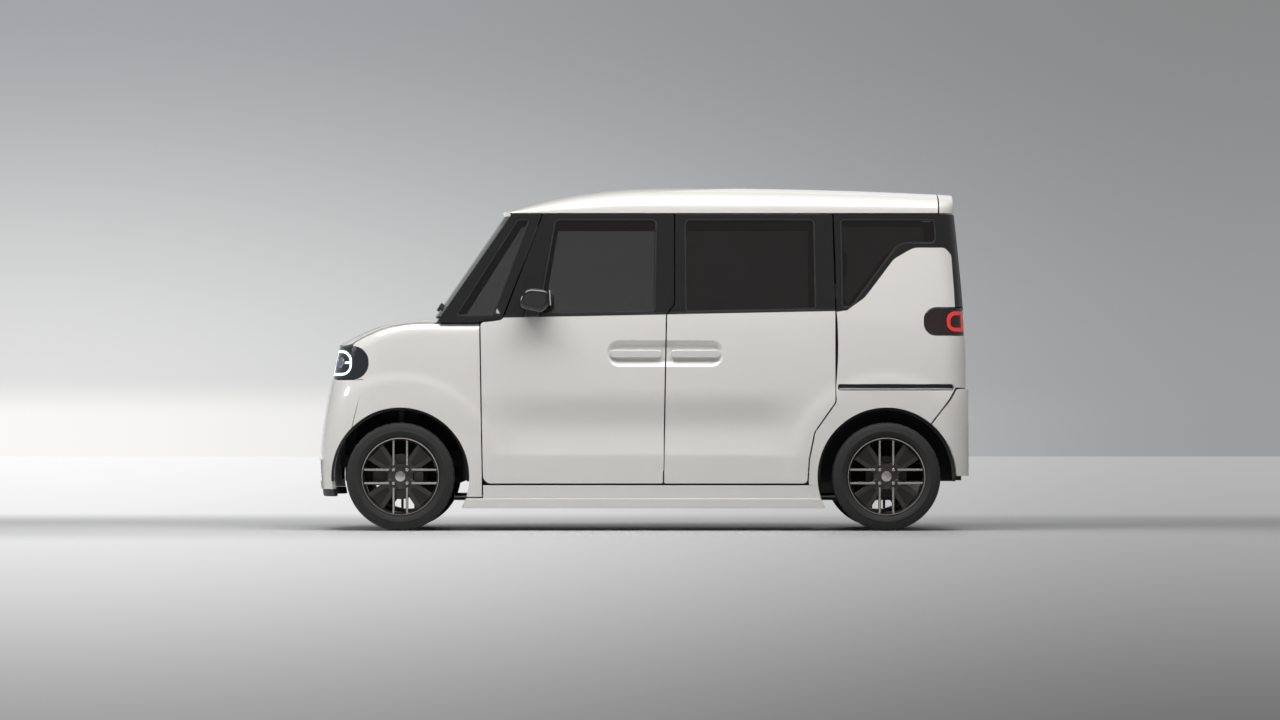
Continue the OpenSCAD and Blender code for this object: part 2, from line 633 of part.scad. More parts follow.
handle_z = 918;
handle_h = 69;
handle_depth = 22;
handle_front = axle_f + 1072;
handle_back = axle_f + 1677;
handle_y = flank(split_x, handle_z) - handle_depth;
module handle_recess() {
    translate([0, -handle_y, 0]) rotate([90, 0, 0]) linear_extrude(80) polygon(rounded([
        [handle_front, handle_z - handle_h, 60], [handle_back, handle_z - handle_h, 60],
        [handle_back, handle_z + handle_h, 60], [handle_front, handle_z + handle_h, 60]]));
}
module handle_bar(x0, x1) {
    translate([0, 4 - handle_y, 0]) rotate([90, 0, 0]) linear_extrude(handle_depth + 2) polygon(rounded([
        [x0, handle_z - 22, 20], [x1, handle_z - 22, 20], [x1, handle_z + 22, 20], [x0, handle_z + 22, 20]]));
}

module left_front_door() {
    difference() {
        intersection() {
            side_slab([door_x - 10, split_x + split_jog + 10], [door_low_z - 10, drip_z], 0, wall_t);
            through_side(front_door_outline, -half_gap);
        }
        through_side(front_glass_outline);
        handle_recess();
    }
    handle_bar(handle_front + 18, split_x - 26);
}
module front_door_left() color(white) left_front_door();
module front_door_right() color(white) mirror([0, 1, 0]) left_front_door();

module left_front_glass() {
    glass_slab(front_glass_outline, [pillar_low[0], split_x], [belt_z, drip_z]);
}
module front_glass_left() color(glass_tint) left_front_glass();
module front_glass_right() color(glass_tint) mirror([0, 1, 0]) left_front_glass();

module sliding_doors() color(white) both_sides() {
    difference() {
        intersection() {
            side_slab([split_x - 30, sliding_x + 10], [door_low_z - 10, drip_z], 0, wall_t);
            through_side(sliding_outline, -half_gap);
        }
        through_side(sliding_glass_outline);
        handle_recess();
    }
    handle_bar(split_x + 26, handle_back - 18);
    for (x = [split_x + 120, axle_r - 560])
        translate([x, 22 - side(x, door_low_z), sill_top_z + fit_gap]) cube([60, 24, 30]);
}

module door_rails() color(black) both_sides() intersection() {
    quarter_slab(axle_r - 330, [620, 1300], 4, 16);
    through_side(rail_outline);
}
module tail_lamps() color("#8c1f1f") both_sides() intersection() {
    quarter_slab(axle_r - 330, [620, 1300], 0, 40);
    through_side(tail_lamp_outline);
}

// Front fenders, with the top edge along the bonnet
module left_fender() {
    xs = steps(nose_x + 125, door_x + 20, 75);
    rows = 14;
    function z_at(x, j) = sill_step_z + (fender_top(x) - sill_step_z)*j/rows;
    function inner(x, z) = skin_t - side(x, z);
    difference() {
        intersection() {
            slab([for (x = xs) [for (j = [0:rows]) let (z = z_at(x, j)) [x, -fender_at(x, z), z]]],
                 [for (x = xs) [for (j = [0:rows]) let (z = z_at(x, j)) [x, inner(x, z), z]]]);
            through_side([
                [nose_x + 60, bonnet_lip_z + 2, 0], [nose_x + 200, bonnet_lip_z + 2, 0],
                [nose_x + 200, face_z, 0], [bumper_tip[0] + half_gap, face_z, 0],
                [bumper_arch[0] + shut_gap, bumper_arch[1], 0], [axle_f, wheel_z, 0],
                [axle_f + 300, sill_step_z, 0], [door_x + 14 - half_gap, sill_step_z, 0],
                [door_x + 14 - half_gap, door_low_z + 30, 0], [door_x - half_gap, belt_z - 8, 0],
                [door_x - half_gap, 1300, 0], [nose_x + 60, 1300, 0]]);
        }
        arch_cut(axle_f);
        through_side(headlamp_outline, half_gap);
    }
}
module front_fenders() color(white) both_sides() left_fender();

headlamp_outline = [
    [nose_x - 80, face_z + half_gap, 0], [lamp_back, face_z + half_gap, lamp_r],
    [lamp_back, bonnet_lip_z - half_gap, lamp_r], [nose_x - 80, bonnet_lip_z - half_gap, 0]];

module headlamps() color(black) {
    lamp_housings();
    for (y = [-490, 460]) translate([nose_x + 97, y, face_z - half_gap + fit_gap]) cube([12, 30, 24]);
}
module lamp_housings() difference() {
    intersection() {
        nose_wrap(axle_f - 120, [face_z - 10, bonnet_lip_z + 10], 1, 55, 45);
        across(2*half_w + 100) polygon(rounded(headlamp_outline));
    }
    translate([nose_x - 100, -grille_half - half_gap, 0]) cube([900, 2*grille_half + shut_gap, 1200]);
}

intake_half = grille_half - 10;
intake_z = [255, 365];
module grille() color(black) {
    for (y = [-230, 170]) translate([nose_x + 80, y, face_z - half_gap + fit_gap]) cube([12, 60, 24]);
    difference() {
        intersection() {
            nose_wrap(axle_f - 120, [face_z - 10, bonnet_lip_z + 10], 4, 30, 45);
            translate([nose_x - 100, -grille_half, face_z + half_gap])
                cube([600, 2*grille_half, bonnet_lip_z - face_z - shut_gap]);
        }
        for (z = [face_z + 40:44:bonnet_lip_z - 40])
            translate([nose_x - 100, -grille_half + 40, z]) cube([600, 2*grille_half - 80, 16]);
    }
    intersection() {
        nose_wrap(axle_f - 120, [intake_z[0] - 10, intake_z[1] + 10], 8, 22, 65);
        translate([nose_x - 100, -intake_half + fit_gap, intake_z[0] + fit_gap])
            cube([600, 2*(intake_half - fit_gap), intake_z[1] - intake_z[0] - 2*fit_gap]);
    }
    difference() {
        nose_wrap(axle_f - 200, [176, 215 - fit_gap], 6, 30, 40);
        arch_cut(axle_f);
    }
}

module front_bumper() color(white) {
    bumper_skin();
    for (y = [-330, 270]) translate([nose_x + 26, y, 375]) cube([104 - fit_gap, 60, 12]);
}
module bumper_skin() difference() {
    intersection() {
        nose_wrap(axle_f - 120, [215, face_z - half_gap], 0, skin_t, 72);
        across(2*half_w + 100) polygon([[nose_x - 80, 200], [axle_f - 150, 200], [axle_f - 100, wheel_z],
            bumper_arch, bumper_tip, [nose_x - 80, face_z]]);
    }
    arch_cut(axle_f);
    translate([nose_x - 100, -intake_half, intake_z[0]])
        cube([600, 2*intake_half, intake_z[1] - intake_z[0]]);
}

module tailgate_prism(grow, z) {
    zs = steps(z[0], z[1], 80);
    w = [for (b = zs) flank(tail_at(b) - tail_r, b) - tailgate_in + grow];
    rotate([90, 0, 90]) translate([0, 0, tail_x - 400]) linear_extrude(500) polygon([
        for (i = [0:len(zs) - 1]) [w[i], zs[i]], for (i = [len(zs) - 1:-1:0]) [-w[i], zs[i]]]);
}

module rear_bumper() color(white) difference() {
    intersection() {
        tail_wrap(axle_r + 180, [rear_bumper_z, bumper_corner_z], 0, skin_t, tail_in, 70);
        across(2*half_w + 100) polygon([
            [axle_r + 150, 270], [tail_x + 60, 270], [tail_x + 60, bumper_corner_z],
            [axle_r + 362, bumper_corner_z], [axle_r + 258, wheel_z + 301], [axle_r + 150, wheel_z + 200]]);
    }
    arch_cut(axle_r);
    tailgate_prism(shut_gap, [tailgate_low_z - shut_gap, bumper_corner_z + 60]);
}

// Tailgate: rear door with the window frame and the roof spoiler
spoiler_x = roof_rear_x + shut_gap;
tail_glass_z = [1165, 1600];
tail_glass_half = half_w - 192.5;
module rear_slab(z, d0, d1, edge, pitch = 70) {
    zs = steps(z[0], z[1], pitch);
    function y_at(b, v, d) = v*(flank(tail_at(b) - tail_r, b) - edge - d*tailgate_bevel);
    slab([for (i = [0:6]) [for (b = zs) [tail_at(b) - d0, y_at(b, i/3 - 1, d0), b]]],
         [for (i = [0:6]) [for (b = zs) [tail_at(b) - d1, y_at(b, i/3 - 1, d1), b]]]);
}
module tailgate() color(white) {
    difference() {
        rear_slab([tailgate_low_z, drip_z + 30], 0, tailgate_t, tailgate_in);
        tail_glass_cut(0);
    }
    xs = steps(spoiler_x, tail_at(drip_z) - 4, 40);
    slab([for (x = xs) roof_row(x, 0)], [for (x = xs) sole_row(roof_row(x, 0))]);
}
module tail_glass_cut(inset) {
    translate([tail_x - 300, 0, 0]) rotate([90, 0, 90]) linear_extrude(400) offset(delta = -inset)
        polygon(rounded([
        [-tail_glass_half, tail_glass_z[0], 50], [tail_glass_half, tail_glass_z[0], 50],
        [tail_glass_half - 40, tail_glass_z[1], 50], [40 - tail_glass_half, tail_glass_z[1], 50]]));
}
module tailgate_glass() color(glass_tint) intersection() {
    rear_slab([tail_glass_z[0] - 20, tail_glass_z[1] + 20], 4, 4 + glass_t, tailgate_in + 4);
    tail_glass_cut(fit_gap);
}

module roof_panel() color(white) roof_slab([roof_front_x, roof_rear_x], roof_t);

module screen_slab(z, shift, t, edge) {
    zs = steps(z[0], z[1], 70);
    function x_at(b, v) = screen_at(b) - screen_bow*(1 - v*v) + shift;
    function y_at(b, v) = v*(flank(screen_at(b), b) - edge);
    vs = [for (i = [0:8]) 1 - i/4];
    slab([for (v = vs) [for (b = zs) [x_at(b, v), y_at(b, v), b]]],
         [for (v = vs) [for (b = zs) [x_at(b, v) + t, y_at(b, v), b]]]);
}
module windscreen() color(glass_tint) screen_slab([screen_low[1] + 2, drip_z - 1], 0, 8, wall_t + 0.9);
module cowl_panel() color(black) {
    screen_slab([1062, screen_low[1] + 2 - fit_gap], 26, 20, wall_t + 6);
    translate([axle_f + 112, -cabin_half, cowl_seat_z + fit_gap]) cube([242, 2*cabin_half, 15]);
}

module bonnet() color(white) intersection() {
    xs = steps(nose_x + nose_rake - 20, cowl_x + 40, 60);
    slab([for (x = xs) [for (i = [0:14]) let (y = (i/7 - 1)*710) [x, y, bonnet_top(x, y)]]],
         [for (x = xs) [for (i = [0:14]) let (y = (i/7 - 1)*710) [x, y, bonnet_under(x, y)]]]);
    translate([0, 0, 800]) linear_extrude(500) polygon(bonnet_plan());
}

module left_mirror() {
    translate([0, -flank(axle_f + 680, belt_z + 30) - 1, 0]) rotate([90, 0, 0]) linear_extrude(150)
        polygon(rounded([[axle_f + 595, belt_z + 62, 45], [axle_f + 735, belt_z + 30, 40],
            [axle_f + 785, belt_z + 80, 40], [axle_f + 780, belt_z + 165, 40],
            [axle_f + 640, belt_z + 178, 70]]));
    translate([0, 0.1 - flank(axle_f + 680, belt_z + 16), 0]) rotate([90, 0, 0]) linear_extrude(60)
        polygon([[axle_f + 640, belt_z + 16], [axle_f + 720, belt_z + 16], [axle_f + 720, belt_z + 70],
            [axle_f + 660, belt_z + 80]]);
}
module mirror_left() color(black) left_mirror();
module mirror_right() color(black) mirror([0, 1, 0]) left_mirror();

// Seats: one side profile drawn across, with head rests on posts
function cushion_profile(x) = [
    [x + 50, floor_z + fit_gap, 0], [x + 430, floor_z + fit_gap, 0], [x + 440, 480, 20], [x + 405, 632, 30],
    [x + 10, 655, 60], [x, 500, 50], [x + 60, 470, 20]];
function back_profile(x) = [
    [x + 435.8, 500, 3], [x + 530, 520, 40], [x + 612, 1230, 45], [x + 505, 1245, 45], [x + 403.6, 640, 10]];
module seat(x, width) {
    across(width) polygon(rounded(cushion_profile(x)));
    across(width - 20) polygon(rounded(back_profile(x)));
}
module head_rest(x, y) {
    translate([0, y, 0]) {
        across(240) polygon(rounded([
            [x + 500, 1290, 30], [x + 600, 1290, 30], [x + 615, 1470, 40], [x + 520, 1475, 40]]));
        for (v = [-60, 60]) translate([x + 555, v, 1200]) cylinder(r = 7, h = 110);
    }
}
module front_seats() color(cloth) for (y = [-seat_y, seat_y]) {
    translate([0, y, 0]) seat(front_seat_x, seat_w);
    head_rest(front_seat_x, y);
}
module rear_seat() color(cloth) {
    seat(rear_seat_x, 2*rear_seat_half);
    for (y = [-seat_y, seat_y]) head_rest(rear_seat_x, y);
}

module dashboard() color(black) difference() {
    union() {
        across(2*cabin_half) polygon(rounded([
            [axle_f + 355.3, 700, 10], [axle_f + 500, 700, 40], [axle_f + 570, 850, 40],
            [axle_f + 550, 1000, 40], [axle_f + 440, 1058, 30], [axle_f + 355.3, 1046, 5]]));
        translate(steering_pos) rotate([0, steering_tilt, 0]) translate([0, 0, -190])
            cylinder(r = 30, h = 170);
    }
    translate(steering_pos) rotate([0, steering_tilt, 0]) translate([0, 0, -95])
        cylinder(r = shaft_r + bore_clear, h = 100);
}
module steering_wheel() color(black) translate(steering_pos) rotate([0, steering_tilt, 0]) {
    rotate_extrude() translate([steering_d/2 - 15, 0]) circle(r = 15);
    translate([0, 0, -12]) cylinder(r = 62, h = 30);
    for (a = [0, 90, 180]) rotate([0, 0, a]) translate([40, -16, -8]) cube([steering_d/2 - 52, 32, 14]);
    translate([0, 0, -85]) cylinder(r = shaft_r, h = 80);
}

module engine() color("gray") {
    translate([axle_f - 110, -300, 260]) cube([400, 600, 540]);
    for (x = [axle_f - 60, axle_f + 200]) translate([x, -335 + fit_gap, 350]) cube([50, 670 - 2*fit_gap, 40]);
}

// Pipe and silencer
module exhaust() color("silver") {
    rod([axle_f + 250, 420, 165], [axle_r + 180, 420, 165], 20);
    translate([axle_r + 180, 130, 197]) rotate([-90, 0, 0]) cylinder(r = 62, h = 340);
    for (x = [axle_f + 620, axle_r - 600]) translate([x, 412, 165]) cube([30, 16, arm_seat_z - 165]);
}
module fuel_tank() color(black) translate([axle_f + 860, -380, 140]) cube([520, 760, arm_seat_z - 140]);

floor_pan();
body_sides();
inner_frame();
roof_panel();
front_fenders();
front_bumper();
rear_bumper();
grille();
headlamps();
tail_lamps();
windscreen();
side_glass();
sliding_doors();
door_rails();
front_seats();
rear_seat();
dashboard();
engine();
exhaust();
fuel_tank();
rear_axle();
front_suspension();
cowl_panel();
wheel_liners();
front_door_left();
front_glass_left();
mirror_left();
front_door_right();
front_glass_right();
mirror_right();
bonnet();
tailgate();
tailgate_glass();
steering_wheel();
knuckle_left();
knuckle_right();
wheel_front_left();
wheel_front_right();
wheel_rear_left();
wheel_rear_right();
tyre_front_left();
tyre_front_right();
tyre_rear_left();
tyre_rear_right();
brake_disc_left();
brake_disc_right();
brake_drum_left();
brake_drum_right();
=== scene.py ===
"""Dresses a tall kei car: body panels, glass, lamps, wheels, seats and small trim over its CAD frame."""

from __future__ import annotations

import json
import logging
import math
from collections.abc import Callable, Iterable, Sequence
from dataclasses import dataclass, field
from enum import Enum

import bmesh
import bpy
from mathutils import Matrix, Vector

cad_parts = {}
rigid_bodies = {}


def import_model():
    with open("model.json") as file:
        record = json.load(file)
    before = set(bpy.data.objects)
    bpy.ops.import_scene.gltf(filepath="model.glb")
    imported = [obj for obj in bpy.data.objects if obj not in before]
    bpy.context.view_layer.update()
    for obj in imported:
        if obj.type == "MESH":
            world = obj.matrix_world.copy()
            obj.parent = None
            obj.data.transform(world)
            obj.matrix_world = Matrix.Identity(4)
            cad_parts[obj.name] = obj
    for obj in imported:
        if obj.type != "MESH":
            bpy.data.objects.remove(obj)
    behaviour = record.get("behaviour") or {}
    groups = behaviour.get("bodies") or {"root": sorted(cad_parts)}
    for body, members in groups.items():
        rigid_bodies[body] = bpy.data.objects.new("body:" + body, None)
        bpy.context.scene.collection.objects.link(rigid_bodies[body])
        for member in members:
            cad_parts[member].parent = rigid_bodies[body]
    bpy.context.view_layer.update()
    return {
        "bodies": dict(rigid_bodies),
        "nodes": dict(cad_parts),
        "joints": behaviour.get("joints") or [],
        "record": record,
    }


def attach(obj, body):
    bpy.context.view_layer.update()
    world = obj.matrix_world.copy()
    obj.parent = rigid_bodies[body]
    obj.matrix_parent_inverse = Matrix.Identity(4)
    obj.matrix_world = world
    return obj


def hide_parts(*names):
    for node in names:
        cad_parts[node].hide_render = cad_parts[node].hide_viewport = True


LOG = logging.getLogger("kei_car")
Point = tuple[float, float]
Corner = tuple[float, float, float]
Point3 = tuple[float, float, float]
Surface = Callable[[float, float], Vector]

SEAL_DEPTH, SEAL_THICK, SEAL_WIDTH = 0.003, 0.02, 0.009
GLASS_DEPTH, GLASS_THICK, GLASS_INSET = 0.006, 0.004, 0.006
UP: Point3 = (0.0, 0.0, 1.0)


class Side(Enum):
    """The two sides of the car, by the sign of Y."""

    LEFT = -1
    RIGHT = 1

    @property
    def word(self) -> str:
        """The name used in piece and node names."""
        return self.name.lower()


def ease(t: float) -> float:
    """Smooth step from 0 to 1."""
    t = min(1.0, max(0.0, t))
    return t * t * (3.0 - 2.0 * t)


def round_in(c: float, r: float) -> float:
    """How far a quarter circle of radius r lies inside its tangent at distance c from its end."""
    if c >= r:
        return 0.0
    return r - math.sqrt(max(0.0, r * r - (r - max(0.0, c)) ** 2))


def rounded(corners: Sequence[Corner], count: int = 8) -> list[Point]:
    """Turns corners with radii into a closed outline with arcs.

    Args:
        corners: x, z and radius of each corner, in order.
        count: steps in each arc.

    Returns:
        The outline's points.
    """
    points: list[Point] = []
    size = len(corners)
    for i, (x, z, r) in enumerate(corners):
        here = Vector((x, z))
        if r <= 0.0:
            points.append((x, z))
            continue
        u = (Vector(corners[i - 1][:2]) - here).normalized()
        v = (Vector(corners[(i + 1) % size][:2]) - here).normalized()
        half = math.acos(max(-1.0, min(1.0, u.dot(v)))) / 2.0
        middle = here + (u + v).normalized() * (r / math.sin(half))
        p = (here + u * (r / math.tan(half)) - middle).normalized()
        q = (here + v * (r / math.tan(half)) - middle).normalized()
        for k in range(count + 1):
            w = middle + (p * (count - k) + q * k).normalized() * r
            points.append((w.x, w.y))
    return points


def inset(points: Sequence[Point], gap: float) -> list[Point]:
    """Moves a closed outline inwards along its corner normals.

    Args:
        points: the outline, in either direction.
        gap: distance in metres, negative to grow it.

    Returns:
        The moved outline.
    """
    area = sum(a[0] * b[1] - b[0] * a[1] for a, b in zip(points, [*points[1:], points[0]]))
    turn = 1.0 if area > 0.0 else -1.0
    out: list[Point] = []
    size = len(points)
    for i, p in enumerate(points):
        a, b, c = Vector(points[i - 1]), Vector(p), Vector(points[(i + 1) % size])
        u, v = (b - a), (c - b)
        if u.length < 1e-7 or v.length < 1e-7:
            continue
        u.normalize()
        v.normalize()
        n = Vector((-u.y - v.y, u.x + v.x)) * turn
        if n.length < 1e-6:
            continue
        n.normalize()
        lean = max(0.35, n.dot(Vector((-u.y, u.x)) * turn))
        w = b + n * (gap / lean)
        out.append((w.x, w.y))
    return out


@dataclass(frozen=True)
class Skin:
    """The body's outer surface, in metres: every panel is laid on it."""

    half_width: float = 0.7375
    length: float = 3.395
    front_overhang: float = 0.445
    wheelbase: float = 2.52
    wheel_z: float = 0.281
    arch_r: float = 0.358
    skirt_z: float = 0.118
    belt_z: float = 1.090
    belt_rise: float = 0.050
    drip_z: float = 1.645
    roof_top: float = 1.790
    side_lean: float = 6.5
    gap: float = 0.007
    flare: float = 0.009
    flare_run: float = 0.190
    flare_edge: float = 0.060
    wide_z: float = 0.720
    belt_in: float = 0.014
    sill_in: float = 0.016
    crease_z: float = 0.378
    crease_run: float = 0.014
    sill_tuck: float = 0.012
    hollow_z: float = 0.720
    deep_z: float = 0.535
    scallop: float = 0.028
    scallop_run: float = 0.330
    scallop_low: float = 0.35
    nose_z: float = 0.375
    lip_z: float = 0.957
    nose_rake: float = 0.095
    nose_tuck: float = 0.025
    nose_bow: float = 0.028
    nose_r: float = 0.240
    waist_z: float = 0.900
    tail_rake: float = 0.075
    tail_in: float = 0.016
    tail_r: float = 0.120
    fender_r: float = 0.070
    bonnet_edge: float = 0.037
    screen_bow: float = 0.050
    roof_square: float = 3.0

    @property
    def nose_x(self) -> float:
        """Foremost point of the body."""
        return -self.length / 2.0

    @property
    def tail_x(self) -> float:
        """Rearmost point of the body."""
        return self.length / 2.0

    @property
    def axle_f(self) -> float:
        """Station of the front axle."""
        return self.nose_x + self.front_overhang

    @property
    def axle_r(self) -> float:
        """Station of the rear axle."""
        return self.axle_f + self.wheelbase

    @property
    def cowl_x(self) -> float:
        """Station of the bonnet's rear edge."""
        return self.axle_f + 0.150

    @property
    def cowl_z(self) -> float:
        """Height of the bonnet's rear edge."""
        return self.belt_z + 0.002

    @property
    def roof_front(self) -> float:
        """Station of the roof's front edge at the sides."""
        return self.axle_f + 0.569

    @property
    def roof_rear(self) -> float:
        """Station of the roof's rear edge."""
        return self.axle_r + 0.269

    @property
    def roof_peak(self) -> float:
        """Station of the roof's highest point."""
        return self.axle_f + 1.455

    def belt(self, x: float) -> float:
        """Height of the belt line at a station."""
        return self.belt_z + self.belt_rise * (x - self.axle_f) / self.wheelbase

    def lean(self, z: float) -> float:
        """Inward lean of the side at a height."""
        if z > self.belt_z:
            return self.belt_in + (z - self.belt_z) * math.tan(math.radians(self.side_lean))
        if z > self.wide_z:
            return self.belt_in * ((z - self.wide_z) / (self.belt_z - self.wide_z)) ** 2
        tuck = self.sill_tuck * max(0.0, (self.crease_z - z) / (self.crease_z - self.skirt_z))
        return tuck + self.sill_in * ((self.wide_z - z) / (self.wide_z - self.skirt_z)) ** 2

    def hollow(self, x: float, z: float) -> float:
        """Depth of the pressed hollow between the wheel arches."""
        along = ease((x - self.axle_f - self.arch_r) / self.scallop_run)
        along *= ease((self.axle_r - self.arch_r - x) / self.scallop_run)
        low = self.crease_z + self.crease_run
        across = self.scallop_low
        if z > self.deep_z:
            across = ease((self.hollow_z - z) / (self.hollow_z - self.deep_z))
        elif z > low:
            across = 1.0 - (1.0 - self.scallop_low) * ((self.deep_z - z) / (self.deep_z - low)) ** 1.6
        return self.scallop * along * across

    def swell(self, x: float, z: float) -> float:
        """Outward swelling round the wheel arches."""
        far = min(
            math.hypot(x - self.axle_f, z - self.wheel_z), math.hypot(x - self.axle_r, z - self.wheel_z)
        )
        return self.flare * ease((self.arch_r + self.flare_run - far) / self.flare_edge)

    def nose(self, z: float) -> float:
        """Station of the nose on the middle line at a height."""
        if z > self.nose_z:
            return self.nose_x + self.nose_rake * ((z - self.nose_z) / (self.lip_z - self.nose_z)) ** 1.3
        return self.nose_x + self.nose_tuck * ((self.nose_z - z) / (self.nose_z - self.skirt_z)) ** 2

    def tail(self, z: float) -> float:
        """Station of the tailgate's skin at a height."""
        rake = 0.0
        if z > self.waist_z:
            rake = self.tail_rake * ((z - self.waist_z) / (self.roof_top - self.waist_z)) ** 1.4
        return self.tail_x - self.tail_in - rake

    def flank(self, x: float, z: float) -> float:
        """Half width of the body without its corner rounding."""
        return self.half_width - self.flare - self.lean(z) - self.hollow(x, z) + self.swell(x, z)

    def side(self, x: float, z: float) -> float:
        """Half width of the body with its corner rounding."""
        front = round_in(x - self.nose(z) - self.nose_bow, self.nose_r)
        return self.flank(x, z) - front - round_in(self.tail(z) - x, self.tail_r)

    def on_side(self, depth: float = 0.0) -> Surface:
        """Surface of the left side over station and height.

        Args:
            depth: distance under the skin.

        Returns:
            A function from station and height to a point.
        """
        return lambda x, z: Vector((x, depth - self.side(x, z), z))

    def on_corner(self, front: bool, depth: float = 0.0, push: float = 0.0) -> Surface:
        """Surface that runs from the left side round a corner, over arc length and height.

        Args:
            front: True for the nose, False for the tail.
            depth: distance under the skin.
            push: how far the end face stands out, as on the rear bumper.

        Returns:
            A function from arc length to a point. The length is 0 on the middle line and grows to the left.
        """
        radius = self.nose_r if front else self.tail_r

        def place(s: float, z: float) -> Vector:
            """Point at an arc length from the middle line, to the left where positive, and a height."""
            sign = 1.0 if s >= 0.0 else -1.0
            s = abs(s)
            if front:
                base = self.nose(z) + self.nose_bow + radius
            else:
                base = self.tail(z) - radius
            flat = self.flank(base, z) - radius
            arc = radius * math.pi / 2.0
            if s <= flat:
                bow = self.nose_bow * (s / flat) ** 2 if front else 0.0
                x = self.nose(z) + bow + depth if front else self.tail(z) + push - depth
                return Vector((x, -sign * s, z))
            if s <= flat + arc:
                turn = (s - flat) / radius
                along = (radius - depth + push) * math.cos(turn)
                x = base - along if front else base + along
                wide = self.flank(x if front else base, z)
                return Vector((x, -sign * (wide - radius + (radius - depth) * math.sin(turn)), z))
            x = base + (s - flat - arc) * (1.0 if front else -1.0)
            return Vector((x, -sign * (self.flank(x, z) - depth), z))

        return place

    def corner_length(self, front: bool, x: float, z: float) -> float:
        """Arc length of on_corner at which the side reaches a station.

        Args:
            front: True for the nose, False for the tail.
            x: station.
            z: height.

        Returns:
            The arc length.
        """
        radius = self.nose_r if front else self.tail_r
        base = self.nose(z) + self.nose_bow + radius if front else self.tail(z) - radius
        flat = self.flank(base, z) - radius
        run = (x - base) if front else (base - x)
        if run >= 0.0:
            return flat + radius * math.pi / 2.0 + run
        turn = math.acos(max(0.0, min(1.0, -run / radius)))
        return flat + radius * turn

    def bonnet_line(self, x: float) -> float:
        """Height of the bonnet on the middle line."""
        lip = self.nose_x + self.nose_rake
        t = min(1.0, max(0.0, (x - lip) / (self.cowl_x - lip)))
        return self.lip_z + (self.cowl_z - self.lip_z) * (1.0 - (1.0 - t) ** 2.4)

    def setback(self, y: float) -> float:
        """How far the front edge lies behind the nose at a distance from the middle."""
        base = self.nose_x + self.nose_rake + self.nose_bow + self.nose_r
        flat = self.flank(base, self.lip_z) - self.nose_r
        y = abs(y)
        if y < flat:
            return self.nose_bow * (y / flat) ** 2
        return self.nose_bow + round_in(self.nose_r - min(0.13, y - flat), self.nose_r)

    def eased(self, x: float, y: float) -> float:
        """Station measured from the curved front edge."""
        lip = self.nose_x + self.nose_rake
        t = min(1.0, max(0.0, (x - lip) / (self.cowl_x - lip)))
        return x - self.setback(y) * (1.0 - t)

    def edge_half(self, x: float) -> float:
        """Half width of the bonnet at a station."""
        return self.side(x, self.lip_z) - self.bonnet_edge

    def edge_z(self, x: float) -> float:
        """Height at which the fender would meet the bonnet without its rounding."""
        return self.bonnet_line(self.eased(x, self.edge_half(x)))

    def bonnet(self, x: float, y: float) -> Vector:
        """Point of the bonnet's surface over station and width."""
        room = max(self.bonnet_edge - 0.010, self.side(x, self.lip_z) - abs(y))
        return Vector((x, y, self.bonnet_line(self.eased(x, y)) - round_in(room, self.fender_r)))

    def fender(self, x: float, z: float) -> Vector:
        """Point of the left fender's surface over station and height."""
        return Vector((x, round_in(self.edge_z(x) - z, self.fender_r) - self.side(x, z), z))

    def screen_x(self, z: float) -> float:
        """Station of the windscreen's side edge at a height."""
        return self.axle_f + 0.208 + 0.361 * (z - self.belt_z - 0.019) / (self.drip_z - self.belt_z - 0.031)

    def screen(self, v: float, z: float) -> Vector:
        """Point of the windscreen over its share of the width, from -1 to 1, and height."""
        x = self.screen_x(z)
        return Vector((x - self.screen_bow * (1.0 - v * v), v * (self.flank(x, z) - 0.063), z))

    def roof_line(self, x: float) -> float:
        """Height of the roof on the middle line."""
        if x < self.roof_peak:
            t = (self.roof_peak - x) / (self.roof_peak - self.roof_front)
            return self.roof_top - (self.roof_top - self.drip_z - 0.012) * t ** 2.6
        return self.roof_top - 0.033 * ((x - self.roof_peak) / (self.roof_rear - self.roof_peak)) ** 2

    def roof(self, x: float, a: float) -> Vector:
        """Point of the roof over station and angle, from 0 at the left drip line to 180 at the right."""
        c, s = math.cos(math.radians(a)), math.sin(math.radians(a))
        power = 2.0 / self.roof_square
        share = math.copysign(abs(c) ** power, c)
        x_bow = x - self.screen_bow * (1.0 - share * share) * max(0.0, 1.0 - (x - self.roof_front) / 0.4)
        rise = max(0.0, self.roof_line(x) - self.drip_z) * max(0.0, s) ** power
        return Vector((x_bow, -self.side(x, self.drip_z) * share, self.drip_z + self.gap / 2.0 + rise))


class Value:
    """A shader socket with Python's operators, each of which adds a Math node."""

    def __init__(self, finish: "Nodes", socket: bpy.types.NodeSocket) -> None:
        """Wraps an output socket of a node tree."""
        self.finish = finish
        self.socket = socket

    def _math(self, operation: str, *parts: "Value | float") -> "Value":
        """Adds a Math node over values or numbers."""
        return self.finish.add("ShaderNodeMath", {"operation": operation}, dict(enumerate(parts)))

    def __add__(self, other: "Value | float") -> "Value":
        """Sum."""
        return self._math("ADD", self, other)

    __radd__ = __add__

    def __sub__(self, other: "Value | float") -> "Value":
        """Difference."""
        return self._math("SUBTRACT", self, other)

    def __rsub__(self, other: "Value | float") -> "Value":
        """Difference from a number."""
        return self._math("SUBTRACT", other, self)

    def __rtruediv__(self, other: "Value | float") -> "Value":
        """Quotient of a number."""
        return self._math("DIVIDE", other, self)

    def __mul__(self, other: "Value | float") -> "Value":
        """Product."""
        return self._math("MULTIPLY", self, other)

    __rmul__ = __mul__

    def above(self, low: float, high: float) -> "Value":
        """Smooth 0 to 1 as the value goes from low to high."""
        settings = {"interpolation_type": "SMOOTHSTEP"}
        return self.finish.add(
            "ShaderNodeMapRange", settings, {"Value": self, "From Min": low, "From Max": high}
        )


